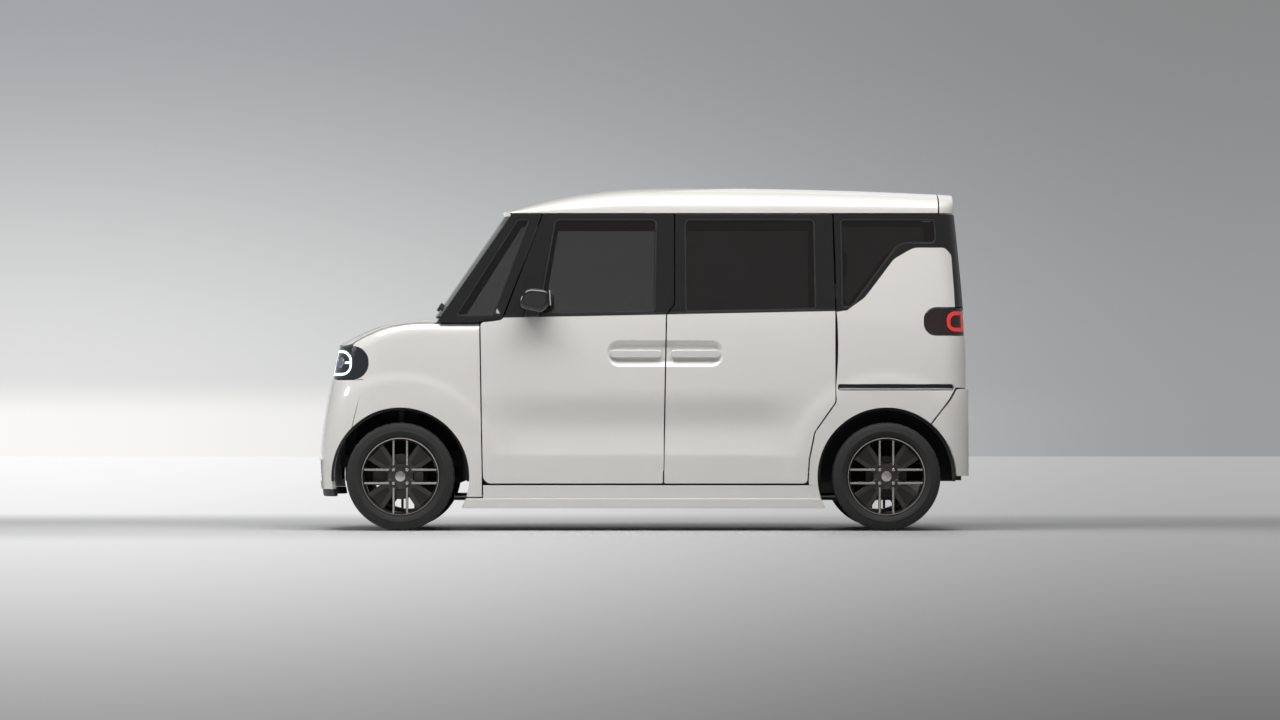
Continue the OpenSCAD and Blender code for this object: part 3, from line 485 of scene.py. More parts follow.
class Nodes:
    """A node tree that grows by wrapped sockets."""

    def __init__(self, tree: bpy.types.NodeTree) -> None:
        """Empties a node tree and takes it over."""
        self.tree = tree
        tree.nodes.clear()

    def add(
        self, kind: str, settings: dict[str, object], inputs: dict[str | int, object], out: str | int = 0
    ) -> Value:
        """Adds one node.

        Args:
            kind: the node's type.
            settings: attributes set first.
            inputs: socket name or number to a value or a link.
            out: the output that is returned.

        Returns:
            The chosen output.
        """
        node = self.tree.nodes.new(kind)
        for key, value in settings.items():
            setattr(node, key, value)
        for key, value in inputs.items():
            self.feed(node.inputs[key], value)
        return Value(self, node.outputs[out])

    def feed(self, socket: bpy.types.NodeSocket, value: object) -> None:
        """Links a value to a socket or sets it."""
        if isinstance(value, Value):
            self.tree.links.new(value.socket, socket)
        else:
            socket.default_value = value

    def between(self, mask: Value, low: Value | Point3, high: Value | Point3) -> Value:
        """Colour that goes from low to high with a mask."""
        ends = [c if isinstance(c, Value) else (*c, 1.0) for c in (low, high)]
        return self.add("ShaderNodeMix", {"data_type": "RGBA"}, {0: mask, 6: ends[0], 7: ends[1]}, 2)


class Shader(Nodes):
    """A material's node tree with one principled shader."""

    def __init__(self, name: str) -> None:
        """Makes an empty material of that name."""
        self.material = bpy.data.materials.new(name)
        self.material.use_nodes = True
        super().__init__(self.material.node_tree)
        self.output = self.tree.nodes.new("ShaderNodeOutputMaterial")
        self.surface = self.tree.nodes.new("ShaderNodeBsdfPrincipled")
        self.tree.links.new(self.surface.outputs[0], self.output.inputs["Surface"])

    def put(self, **inputs: object) -> "Shader":
        """Feeds the principled shader's sockets, with _ for a space in their names."""
        for key, value in inputs.items():
            self.feed(self.surface.inputs[key.replace("_", " ")], value)
        return self

    def object_co(self) -> Value:
        """Object coordinates."""
        return self.add("ShaderNodeTexCoord", {}, {}, "Object")

    def noise(self, scale: float, detail: float = 3.0, roughness: float = 0.5) -> Value:
        """Noise over Object coordinates, from 0 to 1."""
        inputs = {"Vector": self.object_co(), "Scale": scale, "Detail": detail, "Roughness": roughness}
        return self.add("ShaderNodeTexNoise", {}, inputs, "Fac")

    def axis(self, name: str) -> Value:
        """One of the Object coordinates, by X, Y or Z."""
        return self.add("ShaderNodeSeparateXYZ", {}, {0: self.object_co()}, name)

    def bump(self, height: Value, strength: float, distance: float) -> Value:
        """Normal from a height."""
        return self.add("ShaderNodeBump", {}, {"Height": height, "Strength": strength, "Distance": distance})

    def fade(self, mask: Value, colour: Value) -> None:
        """Lets the surface go over to a plain colour that needs no light."""
        inputs = {"Base Color": (0.0, 0.0, 0.0, 1.0), "Specular IOR Level": 0.0, "Emission Strength": 1.0}
        glow = self.add("ShaderNodeBsdfPrincipled", {}, {**inputs, "Emission Color": colour})
        mix = self.add("ShaderNodeMixShader", {}, {0: mask, 1: Value(self, self.surface.outputs[0]), 2: glow})
        self.feed(self.output.inputs["Surface"], mix)


@dataclass(frozen=True)
class Finish:
    """A painted, moulded or metal surface with fine grain and slight wear."""

    name: str
    dark: tuple[float, float, float]
    light: tuple[float, float, float]
    roughness: float = 0.4
    spread: float = 0.08
    metallic: float = 0.0
    coat: float = 0.0
    coat_roughness: float = 0.03
    scale: float = 30.0
    grain: float = 900.0
    bump: float = 0.0
    sheen: float = 0.0
    glow: float = 0.0
    alpha: float = 1.0
    specular: float = 0.5

    def make(self) -> bpy.types.Material:
        """Makes the material.

        Returns:
            The material, with its detail in Object coordinates.
        """
        shader = Shader(self.name)
        cloud = shader.noise(self.scale)
        fine = shader.noise(self.grain, 2.0)
        shader.put(Base_Color=shader.between(cloud * 0.6 + fine * 0.4, self.dark, self.light))
        shader.put(Roughness=(cloud - 0.5) * self.spread + self.roughness)
        shader.put(Metallic=self.metallic, Coat_Weight=self.coat, Coat_Roughness=self.coat_roughness)
        shader.surface.inputs["Specular IOR Level"].default_value = self.specular
        if self.bump:
            shader.put(Normal=shader.bump(fine, self.bump, 0.0004))
        if self.sheen:
            shader.put(Sheen_Weight=self.sheen, Sheen_Roughness=0.4)
        if self.glow:
            shader.put(
                Emission_Color=shader.between(cloud, self.dark, self.light), Emission_Strength=self.glow
            )
        if self.alpha < 1.0:
            shader.put(Alpha=self.alpha)
        return shader.material


@dataclass(frozen=True)
class ClothFinish:
    """Woven seat cloth."""

    name: str
    dark: tuple[float, float, float]
    light: tuple[float, float, float]
    thread: float = 0.0022

    def make(self) -> bpy.types.Material:
        """Makes the material.

        Returns:
            A cloth with a weave of two thread directions.
        """
        shader = Shader(self.name)
        rate = 2.0 * math.pi / self.thread
        warp = shader.axis("Y") * rate
        weft = (shader.axis("Z") + shader.axis("X")) * rate
        rows = shader.add("ShaderNodeMath", {"operation": "SINE"}, {0: warp})
        picks = shader.add("ShaderNodeMath", {"operation": "SINE"}, {0: weft})
        weave = rows * picks * 0.5 + 0.5
        cloud = shader.noise(14.0)
        shader.put(Base_Color=shader.between(weave * 0.5 + cloud * 0.5, self.dark, self.light))
        shader.put(Roughness=cloud * 0.1 + 0.82, Normal=shader.bump(weave, 0.35, 0.0006))
        shader.put(Sheen_Weight=0.3, Sheen_Roughness=0.5)
        return shader.material


@dataclass(frozen=True)
class GlassFinish:
    """Tinted car glass: a glossy sheet that lets part of the light through."""

    name: str
    tint: tuple[float, float, float]
    clear: float

    def make(self) -> bpy.types.Material:
        """Makes the material.

        Returns:
            A glossy material with a dark see-through body.
        """
        shader = Shader(self.name)
        dust = shader.noise(6.0)
        shade = shader.between(dust, self.tint, tuple(c * 1.25 for c in self.tint))
        shader.put(Base_Color=shade, Roughness=dust * 0.03 + 0.02)
        shader.put(Alpha=dust * 0.03 + (1.0 - self.clear))
        shader.surface.inputs["Specular IOR Level"].default_value = 0.6
        return shader.material


@dataclass(frozen=True)
class RubberFinish:
    """Tyre rubber with fine side ribs."""

    name: str
    hub: tuple[float, float, float]

    def make(self) -> bpy.types.Material:
        """Makes the material.

        Returns:
            Rubber whose ribs run round the given wheel centre.
        """
        shader = Shader(self.name)
        place = shader.add(
            "ShaderNodeVectorMath", {"operation": "SUBTRACT"}, {0: shader.object_co(), 1: self.hub}
        )
        flat = shader.add("ShaderNodeVectorMath", {"operation": "MULTIPLY"}, {0: place, 1: (1.0, 0.0, 1.0)})
        radius = shader.add("ShaderNodeVectorMath", {"operation": "LENGTH"}, {0: flat}, "Value")
        rib = shader.add("ShaderNodeMath", {"operation": "SINE"}, {0: radius * 1500.0})
        cloud = shader.noise(40.0)
        dust = radius.above(0.26, 0.285) * 0.5 + cloud * 0.5
        shader.put(Base_Color=shader.between(dust, (0.010, 0.010, 0.010), (0.032, 0.030, 0.028)))
        shader.put(Roughness=cloud * 0.12 + 0.72, Normal=shader.bump(rib * 0.5 + cloud, 0.12, 0.0006))
        return shader.material


def obj_from(
    bm: bmesh.types.BMesh, name: str, finish: bpy.types.Material, angle: float = 40.0
) -> bpy.types.Object:
    """Makes a smooth-shaded object from a bmesh and frees the bmesh.

    Args:
        bm: the mesh, in its place.
        name: the piece's name.
        finish: its material.
        angle: edges sharper than this, in degrees, stay sharp.

    Returns:
        The new object, linked to the scene.
    """
    mesh = bpy.data.meshes.new(name)
    bm.to_mesh(mesh)
    bm.free()
    mesh.polygons.foreach_set("use_smooth", [True] * len(mesh.polygons))
    mesh.set_sharp_from_angle(angle=math.radians(angle))
    mesh.materials.append(finish)
    obj = bpy.data.objects.new(name, mesh)
    bpy.context.scene.collection.objects.link(obj)
    return obj


def baked(obj: bpy.types.Object) -> None:
    """Puts the result of an object's modifiers into its mesh and removes them."""
    graph = bpy.context.evaluated_depsgraph_get()
    mesh = bpy.data.meshes.new_from_object(obj.evaluated_get(graph))
    old = obj.data
    obj.modifiers.clear()
    obj.data = mesh
    bpy.data.meshes.remove(old)


def soften(obj: bpy.types.Object, width: float, segments: int = 2, angle: float = 45.0) -> bpy.types.Object:
    """Adds a live bevel over the sharp edges of an object."""
    bevel = obj.modifiers.new("bevel", "BEVEL")
    bevel.width = width
    bevel.segments = segments
    bevel.limit_method = "ANGLE"
    bevel.angle_limit = math.radians(angle)
    bevel.harden_normals = True
    return obj


def flat_sheet(outline: Sequence[Point]) -> bmesh.types.BMesh:
    """One face over a closed outline, in the plane of its two parameters."""
    bm = bmesh.new()
    verts = [bm.verts.new((u, v, 0.0)) for u, v in outline]
    face = bm.faces.new(verts)
    face.normal_update()
    if face.normal.z < 0.0:
        bmesh.ops.reverse_faces(bm, faces=[face])
    return bm


def dense(outline: Sequence[Point], pitch: float) -> list[Point]:
    """A closed outline with points added on its long edges."""
    out: list[Point] = []
    for a, b in zip(outline, [*outline[1:], outline[0]]):
        count = max(1, math.ceil(math.dist(a, b) / pitch))
        out += [(a[0] + (b[0] - a[0]) * i / count, a[1] + (b[1] - a[1]) * i / count) for i in range(count)]
    return out


def ring_sheet(outer: Sequence[Point], inner: Sequence[Point]) -> bmesh.types.BMesh:
    """Faces between two closed outlines, in the plane of their two parameters."""
    bm = bmesh.new()
    edges: list[bmesh.types.BMEdge] = []
    for outline in (outer, inner):
        verts = [bm.verts.new((u, v, 0.0)) for u, v in outline]
        edges += [bm.edges.new((a, b)) for a, b in zip(verts, [*verts[1:], verts[0]])]
    bmesh.ops.bridge_loops(bm, edges=edges)
    return bm


def slice_sheet(bm: bmesh.types.BMesh, origin: Point, normal: Point, clear: bool = False) -> None:
    """Cuts a flat sheet along a line and, if asked, drops what lies on the normal's side."""
    geom = [*bm.verts, *bm.edges, *bm.faces]
    bmesh.ops.bisect_plane(
        bm,
        geom=geom,
        dist=1e-6,
        plane_co=(*origin, 0.0),
        plane_no=(*normal, 0.0),
        clear_outer=clear,
    )


def slice_grid(bm: bmesh.types.BMesh, pitch: Point, rows: Iterable[float] = ()) -> None:
    """Cuts a flat sheet into a grid.

    Args:
        bm: the sheet.
        pitch: the largest step along each parameter.
        rows: further heights to cut at.
    """
    for axis in (0, 1):
        low = min(v.co[axis] for v in bm.verts)
        high = max(v.co[axis] for v in bm.verts)
        count = max(1, math.ceil((high - low) / pitch[axis]))
        places = [low + (high - low) * i / count for i in range(1, count)]
        if axis == 1:
            places += [r for r in rows if low < r < high]
        for place in places:
            origin = (place, 0.0) if axis == 0 else (0.0, place)
            slice_sheet(bm, origin, (1.0, 0.0) if axis == 0 else (0.0, 1.0))


def prism(outline: Sequence[Point], low: float, high: float, name: str = "cutter") -> bpy.types.Object:
    """A closed block over an outline in the plane of the two parameters, used as a cutter."""
    bm = flat_sheet(outline)
    bmesh.ops.translate(bm, verts=bm.verts, vec=(0.0, 0.0, low))
    out = bmesh.ops.extrude_face_region(bm, geom=bm.faces[:])
    moved = [g for g in out["geom"] if isinstance(g, bmesh.types.BMVert)]
    bmesh.ops.translate(bm, verts=moved, vec=(0.0, 0.0, high - low))
    bmesh.ops.recalc_face_normals(bm, faces=bm.faces)
    mesh = bpy.data.meshes.new(name)
    bm.to_mesh(mesh)
    bm.free()
    obj = bpy.data.objects.new(name, mesh)
    bpy.context.scene.collection.objects.link(obj)
    return obj


def cut_holes(obj: bpy.types.Object, holes: Sequence[Sequence[Point]]) -> None:
    """Cuts outlines out of a flat sheet object."""
    for hole in holes:
        cutter = prism(hole, -0.5, 0.5)
        change = obj.modifiers.new("hole", "BOOLEAN")
        change.operation = "DIFFERENCE"
        change.solver = "EXACT"
        change.object = cutter
        baked(obj)
        old = cutter.data
        bpy.data.objects.remove(cutter)
        bpy.data.meshes.remove(old)


@dataclass(frozen=True)
class Panel:
    """A sheet cut to an outline, laid on a surface and given a thickness."""

    name: str
    outline: Sequence[Point]
    surface: Surface
    thickness: float = 0.02
    holes: Sequence[Sequence[Point]] = ()
    cuts: Sequence[tuple[Point, Point]] = ()
    pitch: Point = (0.03, 0.03)
    rows: Sequence[float] = ()
    bevel: float = 0.0016
    out: Point3 = (0.0, -1.0, 0.0)
    ring: float = 0.0

    def build(self, finish: bpy.types.Material, mirror: bool = False) -> bpy.types.Object:
        """Builds the panel.

        Args:
            finish: its material.
            mirror: True to build it on the other side of the car.

        Returns:
            The panel, with its thickness and bevel.
        """
        if self.ring:
            edge = dense(self.outline, self.pitch[0])
            bm = ring_sheet(edge, inset(edge, self.ring))
        else:
            bm = flat_sheet(self.outline)
            for origin, normal in self.cuts:
                slice_sheet(bm, origin, normal, clear=True)
            slice_grid(bm, self.pitch, self.rows)
        obj = obj_from(bm, self.name, finish)
        cut_holes(obj, self.holes)
        bm = bmesh.new()
        bm.from_mesh(obj.data)
        for vert in bm.verts:
            vert.co = self.surface(vert.co.x, vert.co.y)
            if mirror:
                vert.co.y = -vert.co.y
        bmesh.ops.remove_doubles(bm, verts=bm.verts, dist=2e-5)
        bmesh.ops.recalc_face_normals(bm, faces=bm.faces)
        total = Vector()
        for face in bm.faces:
            total += face.normal * face.calc_area()
        out = Vector(self.out)
        if mirror:
            out.y = -out.y
        if total.dot(out) < 0.0:
            bmesh.ops.reverse_faces(bm, faces=bm.faces)
        bm.to_mesh(obj.data)
        bm.free()
        obj.data.polygons.foreach_set("use_smooth", [True] * len(obj.data.polygons))
        if self.thickness:
            solid = obj.modifiers.new("thickness", "SOLIDIFY")
            solid.thickness = self.thickness
            solid.offset = -1.0
            solid.use_quality_normals = True
        if self.bevel:
            soften(obj, self.bevel, angle=50.0)
        elif self.thickness:
            baked(obj)
            obj.data.set_sharp_from_angle(angle=math.radians(40.0))
        return obj


@dataclass
class Workshop:
    """The skin, the finishes and the list of pieces made so far."""

    skin: Skin
    finishes: dict[str, bpy.types.Material]
    made: list[str] = field(default_factory=list)

    def fit(self, obj: bpy.types.Object, body: str, slot: str, *nodes: str) -> bpy.types.Object:
        """Fastens a piece to a body.

        Args:
            obj: the piece, in place.
            body: the CAD body it rides on.
            slot: the record's material slot; not used.
            nodes: CAD nodes it stands for.

        Returns:
            The same piece.
        """
        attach(obj, body)
        if nodes:
            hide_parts(*nodes)
        self.made.append(obj.name)
        return obj

    def panel(
        self, panel: Panel, finish: str, side: Side, body: str, slot: str, *nodes: str
    ) -> bpy.types.Object:
        """Builds a panel on one side and fastens it."""
        obj = panel.build(self.finishes[finish], mirror=side is Side.RIGHT)
        return self.fit(obj, body, slot, *nodes)

    def window(
        self, names: tuple[str, str], outline: Sequence[Point], under: Callable[[float], Surface],
        finish: str, side: Side, body: str, node: str, steps: Point = (0.06, 0.08), out: Point3 = Panel.out,
    ) -> None:
        """Builds a window's seal and its glass.

        Args:
            names: the seal's name and the glass's.
            outline: the opening.
            under: gives the surface at a depth under the skin.
            finish: the glass's finish.
            side: the side of the car.
            body: the CAD body that both ride on.
            node: the CAD node that the glass stands for.
            steps: the pitch along the seal and the glass.
            out: the direction that faces outwards.
        """
        seal = Panel(
            names[0], outline, under(SEAL_DEPTH), SEAL_THICK, pitch=(steps[0], 0.06), out=out,
            ring=SEAL_WIDTH,
        )
        self.panel(seal, "rubber", side, body, "black_trim")
        glass = Panel(
            names[1], inset(outline, GLASS_INSET), under(GLASS_DEPTH), GLASS_THICK,
            pitch=(steps[1], 0.06), bevel=0.0, out=out,
        )
        self.panel(glass, finish, side, body, "glass", node)


@dataclass(frozen=True)
class Lines:
    """The side view's outlines, in metres, as corners with radii."""

    skin: Skin
    door_low: float = 0.242
    frame: float = 0.026

    @property
    def door_x(self) -> float:
        """Front shut line of the front door."""
        return self.skin.axle_f + 0.412

    @property
    def split_x(self) -> float:
        """Shut line between the front and the sliding door."""
        return self.door_x + 0.968

    @property
    def sliding_x(self) -> float:
        """Rear shut line of the sliding door."""
        return self.skin.axle_r - 0.262

    @property
    def glass_top(self) -> float:
        """Upper edge of the side windows."""
        return self.skin.drip_z - self.frame

    def front_door(self) -> list[Point]:
        """Outline of the front door."""
        a, x, belt = self.skin.axle_f, self.split_x, self.skin.belt(self.split_x)
        return rounded([
            (self.door_x + 0.014, self.door_low, 0.045), (x - 0.016, self.door_low, 0.012), (x, belt, 0.02),
            (x + 0.042, belt + 0.06, 0.02), (x + 0.042, self.skin.drip_z, 0.014),
            (a + 0.737, self.skin.drip_z, 0.03), (a + 0.53, self.skin.belt_z + 0.006, 0.03),
            (self.door_x, self.skin.belt_z - 0.008, 0.022),
        ])

    def sliding_door(self) -> list[Point]:
        """Outline of the sliding door."""
        r, x, belt = self.skin.axle_r, self.split_x, self.skin.belt(self.split_x)
        z = self.skin.wheel_z
        return rounded([
            (x - 0.016, self.door_low, 0.012), (r - 0.408, self.door_low, 0.025), (r - 0.4, z + 0.09, 0.08),
            (r - 0.372, z + 0.23, 0.06), (self.sliding_x, z + 0.385, 0.04),
            (self.sliding_x, self.skin.belt(self.sliding_x), 0.03),
            (self.sliding_x - 0.014, self.skin.drip_z, 0.014),
            (x + 0.042, self.skin.drip_z, 0.014), (x + 0.042, belt + 0.06, 0.02), (x, belt, 0.02),
        ])

    def front_glass(self) -> list[Point]:
        """Outline of the front door's glass."""
        a, x, belt = self.skin.axle_f, self.split_x, self.skin.belt(self.split_x)
        return rounded([
            (a + 0.712, self.skin.belt_z + 0.03, 0.03), (x - 0.058, belt + 0.012, 0.018),
            (x - 0.048, self.glass_top, 0.028), (a + 0.8, self.glass_top, 0.03),
        ])

    def sliding_glass(self) -> list[Point]:
        """Outline of the sliding door's glass."""
        x, y = self.split_x, self.sliding_x
        return rounded([
            (x + 0.095, self.skin.belt(x) + 0.014, 0.018), (y - 0.1, self.skin.belt(y) + 0.01, 0.024),
            (y - 0.108, self.glass_top, 0.028), (x + 0.092, self.glass_top, 0.028),
        ])

    def front_quarter(self) -> list[Point]:
        """Outline of the small glass in front of the front door."""
        a, z = self.skin.axle_f, self.skin.belt_z
        return rounded([
            (a + 0.28, z + 0.022, 0.012), (a + 0.486, z + 0.022, 0.014),
            (a + 0.675, self.glass_top, 0.014), (a + 0.605, self.glass_top, 0.016),
        ])

    def rear_quarter(self) -> list[Point]:
        """Outline of the glass behind the sliding door."""
        r, x, belt = self.skin.axle_r, self.sliding_x, self.skin.belt(self.skin.axle_r)
        return rounded([
            (x + 0.028, belt + 0.012, 0.024), (r - 0.178, belt + 0.016, 0.05), (r + 0.07, belt + 0.348, 0.09),
            (r + 0.262, belt + 0.348, 0.03), (r + 0.255, self.glass_top, 0.024),
            (x + 0.02, self.glass_top, 0.024),
        ])

    def arch(self, front: bool, start: float, end: float, grow: float = 0.0) -> list[Point]:
        """Points along a wheel arch between two angles in degrees."""
        x = self.skin.axle_f if front else self.skin.axle_r
        r = self.skin.arch_r + grow
        count = max(2, round(abs(end - start) / 4.0))
        turns = [math.radians(start + (end - start) * i / count) for i in range(count + 1)]
        return [(x + r * math.cos(t), self.skin.wheel_z + r * math.sin(t)) for t in turns]

    def under_belt(self, lift: float) -> tuple[Point, Point]:
        """Cut that keeps what lies under the belt line."""
        slope = self.skin.belt_rise / self.skin.wheelbase
        return (self.skin.axle_f, self.skin.belt_z + lift), (-slope, 1.0)

    def over_belt(self, lift: float) -> tuple[Point, Point]:
        """Cut that keeps what lies over the belt line."""
        origin, (u, v) = self.under_belt(lift)
        return origin, (-u, -v)


@dataclass(frozen=True)
class Handle:
    """The recess with a pull bar on each side of the shut line between the doors."""

    lines: Lines
    z: float = 0.918
    half: float = 0.069
    radius: float = 0.06
    depth: float = 0.02

    @property
    def ends(self) -> Point:
        """Front and rear end of the recess."""
        return self.lines.skin.axle_f + 1.072, self.lines.skin.axle_f + 1.677

    def capsule(self, low: float, high: float, half: float, radius: float) -> list[Point]:
        """Rounded outline between two stations round the handle's height."""
        a, b = self.z - half, self.z + half
        return rounded([(low, a, radius), (high, a, radius), (high, b, radius), (low, b, radius)])

    def hole(self) -> list[Point]:
        """Outline of the whole recess."""
        return self.capsule(*self.ends, self.half, self.radius)

    def bowl(self, x: float, z: float) -> Vector:
        """Point of the recess's surface, which falls off from its rim."""
        low, high = self.ends
        u = abs(x - (low + high) / 2.0) - (high - low) / 2.0 + self.radius
        v = abs(z - self.z) - self.half + self.radius
        inside = self.radius - math.hypot(max(u, 0.0), max(v, 0.0)) - min(max(u, v), 0.0)
        return self.lines.skin.on_side(self.depth * ease(inside / 0.03))(x, z)

    def dress(self, shop: Workshop, side: Side, front: bool, body: str) -> None:
        """Builds the recess and the bar of one door."""
        word = f"{'front' if front else 'sliding'}_{side.word}"
        x, half_gap = self.lines.split_x, self.lines.skin.gap / 2.0
        sign = 1.0 if front else -1.0
        edge = ((x - sign * half_gap - 0.008, 0.69), (sign, -0.0189 * sign))
        low, high = self.ends
        tray = Panel(
            f"handle_recess_{word}", self.hole(), self.bowl, 0.004, cuts=[edge], pitch=(0.008, 0.008),
            bevel=0.0
        )
        shop.panel(tray, "paint", side, body, "paint")
        span = (low + 0.018, x - 0.026) if front else (x + 0.026, high - 0.018)
        bar = Panel(
            f"handle_bar_{word}", self.capsule(*span, 0.02, 0.018), self.lines.skin.on_side(0.001), 0.013,
            pitch=(0.02, 0.01), bevel=0.005,
        )
        shop.panel(bar, "handle", side, body, "paint")
        for k, place in enumerate((span[0] + 0.022, span[1] - 0.022)):
            foot = Panel(
                f"handle_foot_{word}_{k}", self.capsule(place - 0.016, place + 0.016, 0.012, 0.008),
                self.lines.skin.on_side(0.012), 0.01, bevel=0.001,
            )
            shop.panel(foot, "dark_plastic", side, body, "dark_plastic")


@dataclass(frozen=True)
class SideDoor:
    """One door: painted lower skin, black window frame, gasket, glass, trim and handle."""

    lines: Lines
    front: bool
    side: Side

    def dress(self, shop: Workshop) -> None:
        """Builds the door's pieces."""
        skin, lines, side = self.lines.skin, self.lines, self.side
        word = f"{'front' if self.front else 'sliding'}_{side.word}"
        body = f"door_{side.word}" if self.front else "body"
        node = f"front_door_{side.word}" if self.front else "sliding_doors"
        glass_node = f"front_glass_{side.word}" if self.front else "side_glass"
        outline = inset(lines.front_door() if self.front else lines.sliding_door(), skin.gap / 2.0)
        window = lines.front_glass() if self.front else lines.sliding_glass()
        handle = Handle(lines)
        rows = (skin.crease_z, skin.crease_z + skin.crease_run * 0.5, skin.crease_z + skin.crease_run)
        lower = Panel(
            f"door_skin_{word}", outline, skin.on_side(), 0.026, [handle.hole()], [lines.under_belt(0.004)],
            (0.028, 0.02), rows,
        )
        shop.panel(lower, "paint", side, body, "paint", node)
        upper = Panel(
            f"door_frame_{word}", outline, skin.on_side(0.002), 0.05, [window], [lines.over_belt(0.005)],
            (0.06, 0.05),
        )
        shop.panel(upper, "black_gloss", side, body, "black_trim", node)
        strip = Panel(
            f"belt_strip_{word}", outline, skin.on_side(-0.0005), 0.012, (),
            [lines.under_belt(0.016), lines.over_belt(0.004)], (0.06, 0.02), bevel=0.002,
        )
        shop.panel(strip, "black_trim", side, body, "black_trim")
        shop.window(
            (f"window_seal_{word}", f"window_{word}"), window, skin.on_side,
            "glass_front" if self.front else "glass_rear", side, body, glass_node,
        )
        card = Panel(
            f"door_trim_{word}", inset(outline, 0.03), skin.on_side(0.034), 0.024, (),
            [lines.under_belt(-0.004)], (0.06, 0.06), bevel=0.006,
        )
        shop.panel(card, "dark_plastic", side, body, "dark_plastic")
        handle.dress(shop, side, self.front, body)


@dataclass(frozen=True)
class SideWall:
    """Sill, rear quarter, pillars and their glass on one side."""

    lines: Lines
    side: Side
    lamp_low: float = 1.014
    lamp_high: float = 1.156
    rail_low: float = 0.728
    rail_high: float = 0.76
    seam_z: float = 0.742

    def at(self, x: float, z: float) -> Point:
        """Parameters on the rear corner's surface of a point in the side view."""
        return self.lines.skin.corner_length(False, x, z), z

    def rear_edge(self, z: float, turn: float = 12.0) -> Point:
        """Parameters of the edge towards the tailgate at a height."""
        skin = self.lines.skin
        flat = skin.flank(skin.tail(z) - skin.tail_r, z) - skin.tail_r
        return flat + skin.tail_r * math.radians(turn), z

    def front_edge(self) -> list[Point]:
        """Points along the sliding door's rear shut line, from the sill up to the belt."""
        grown = inset(self.lines.sliding_door(), -self.lines.skin.gap / 2.0)
        r, belt = self.lines.skin.axle_r, self.lines.skin.belt(self.lines.sliding_x)
        return [p for p in grown if p[0] > r - 0.42 and 0.26 < p[1] < belt - 0.01]

    def shoulder(self) -> list[Point]:
        """The curve that parts the painted quarter from the black upper part, from front to rear."""
        nose = self.lines.skin.nose_x
        corners = [(2.761, 1.143, 0.0), (2.853, 1.209, 0.12), (3.005, 1.41, 0.1), (3.107, 1.468, 0.09),
                   (3.270, 1.468, 0.035), (3.303, 1.43, 0.03), (3.321, 1.16, 0.0)]
        return [(nose + x, z) for x, z in rounded([(2.66, 1.138, 0.0), *corners, (3.33, 1.0, 0.0)])][1:-1]

    def lamp(self, grow: float = 0.0) -> list[Point]:
        """Points round the front end of the tail lamp, from below to above."""
        r = self.lines.skin.axle_r
        x, low, high = r + 0.196 - grow, self.lamp_low - grow, self.lamp_high + grow
        corners = [(r + 0.5, low, 0.0), (x, low, 0.064), (x, high, 0.064), (r + 0.5, high, 0.0)]
        return rounded(corners)[1:-1]

    def rail(self, grow: float = 0.0) -> list[Point]:
        """Outline of the slide rail's slot."""
        x, r = self.lines.sliding_x + 0.01, self.lines.skin.axle_r + 0.35
        low, high = self.rail_low, self.rail_high
        points = rounded([(x, low, 0.01), (r, low, 0.015), (r, high, 0.015), (x, high, 0.01)])
        return [self.at(*p) for p in inset(points, -grow)]

    def lower_quarter(self) -> list[Point]:
        """Outline of the painted rear quarter."""
        skin, r = self.lines.skin, self.lines.skin.axle_r
        front = self.front_edge()
        arch = self.lines.arch(False, 187.5, 50.4)
        low = [(r + 0.358, self.seam_z)]
        shoulder = self.shoulder()
        rear = [self.rear_edge(self.seam_z + 0.268 * i / 6.0) for i in range(7)]
        points = [self.at(*p) for p in [*arch, *low]] + rear
        points += [self.at(*p) for p in self.lamp(0.003)]
        points += [self.at(*p) for p in reversed(shoulder)]
        points += [self.at(front[-1][0], skin.belt(front[-1][0])), *[self.at(*p) for p in reversed(front)]]
        return points + [self.at(r - 0.401, 0.236)]

    def upper_quarter(self) -> list[Point]:
        """Outline of the black part round the rear quarter glass."""
        x = self.lines.sliding_x + self.lines.skin.gap / 2.0
        top = self.lines.skin.drip_z - 0.002
        rear = [self.rear_edge(1.162 + (top - 1.162) * i / 8.0) for i in range(9)]
        front = [self.at(x - 0.014, top), self.at(x, self.lines.skin.belt(x) + 0.004)]
        return [*front, *[self.at(u, v) for u, v in self.shoulder()], *rear]

    def dress(self, shop: Workshop) -> None:
        """Builds the side's pieces."""
        skin, lines, side, word = self.lines.skin, self.lines, self.side, self.side.word
        wrap = skin.on_corner(False)
        quarter = Panel(
            f"rear_quarter_{word}", self.lower_quarter(), wrap, 0.024, [self.rail(0.0005)], (),
            (0.026, 0.024),
        )
        shop.panel(quarter, "paint", side, "body", "paint", "body_sides")
        glass = [self.at(*p) for p in lines.rear_quarter()]
        upper = Panel(
            f"rear_pillar_{word}", self.upper_quarter(), skin.on_corner(False, 0.002), 0.05, [glass], (),
            (0.04, 0.05),
        )
        shop.panel(upper, "black_gloss", side, "body", "black_trim", "body_sides")
        self.pane(
            shop, f"rear_quarter_{word}", glass, lambda depth: skin.on_corner(False, depth), "glass_rear"
        )
        self.sill(shop)
        self.front_pillar(shop)
        slot = Panel(f"slide_rail_{word}", self.rail(), skin.on_corner(False, 0.01), 0.006, bevel=0.0)
        shop.panel(slot, "black_trim", side, "body", "black_trim", "door_rails")
        runner = [self.at(x, z) for x, z in rounded([
            (lines.sliding_x + 0.014, 0.73, 0.003), (skin.axle_r + 0.34, 0.73, 0.003),
            (skin.axle_r + 0.34, 0.738, 0.003), (lines.sliding_x + 0.014, 0.738, 0.003)], 2)]
        lip = Panel(
            f"slide_runner_{word}", runner, skin.on_corner(False, 0.001), 0.01, pitch=(0.04, 0.02),
            bevel=0.001
        )
        shop.panel(lip, "steel", side, "body", "steel")

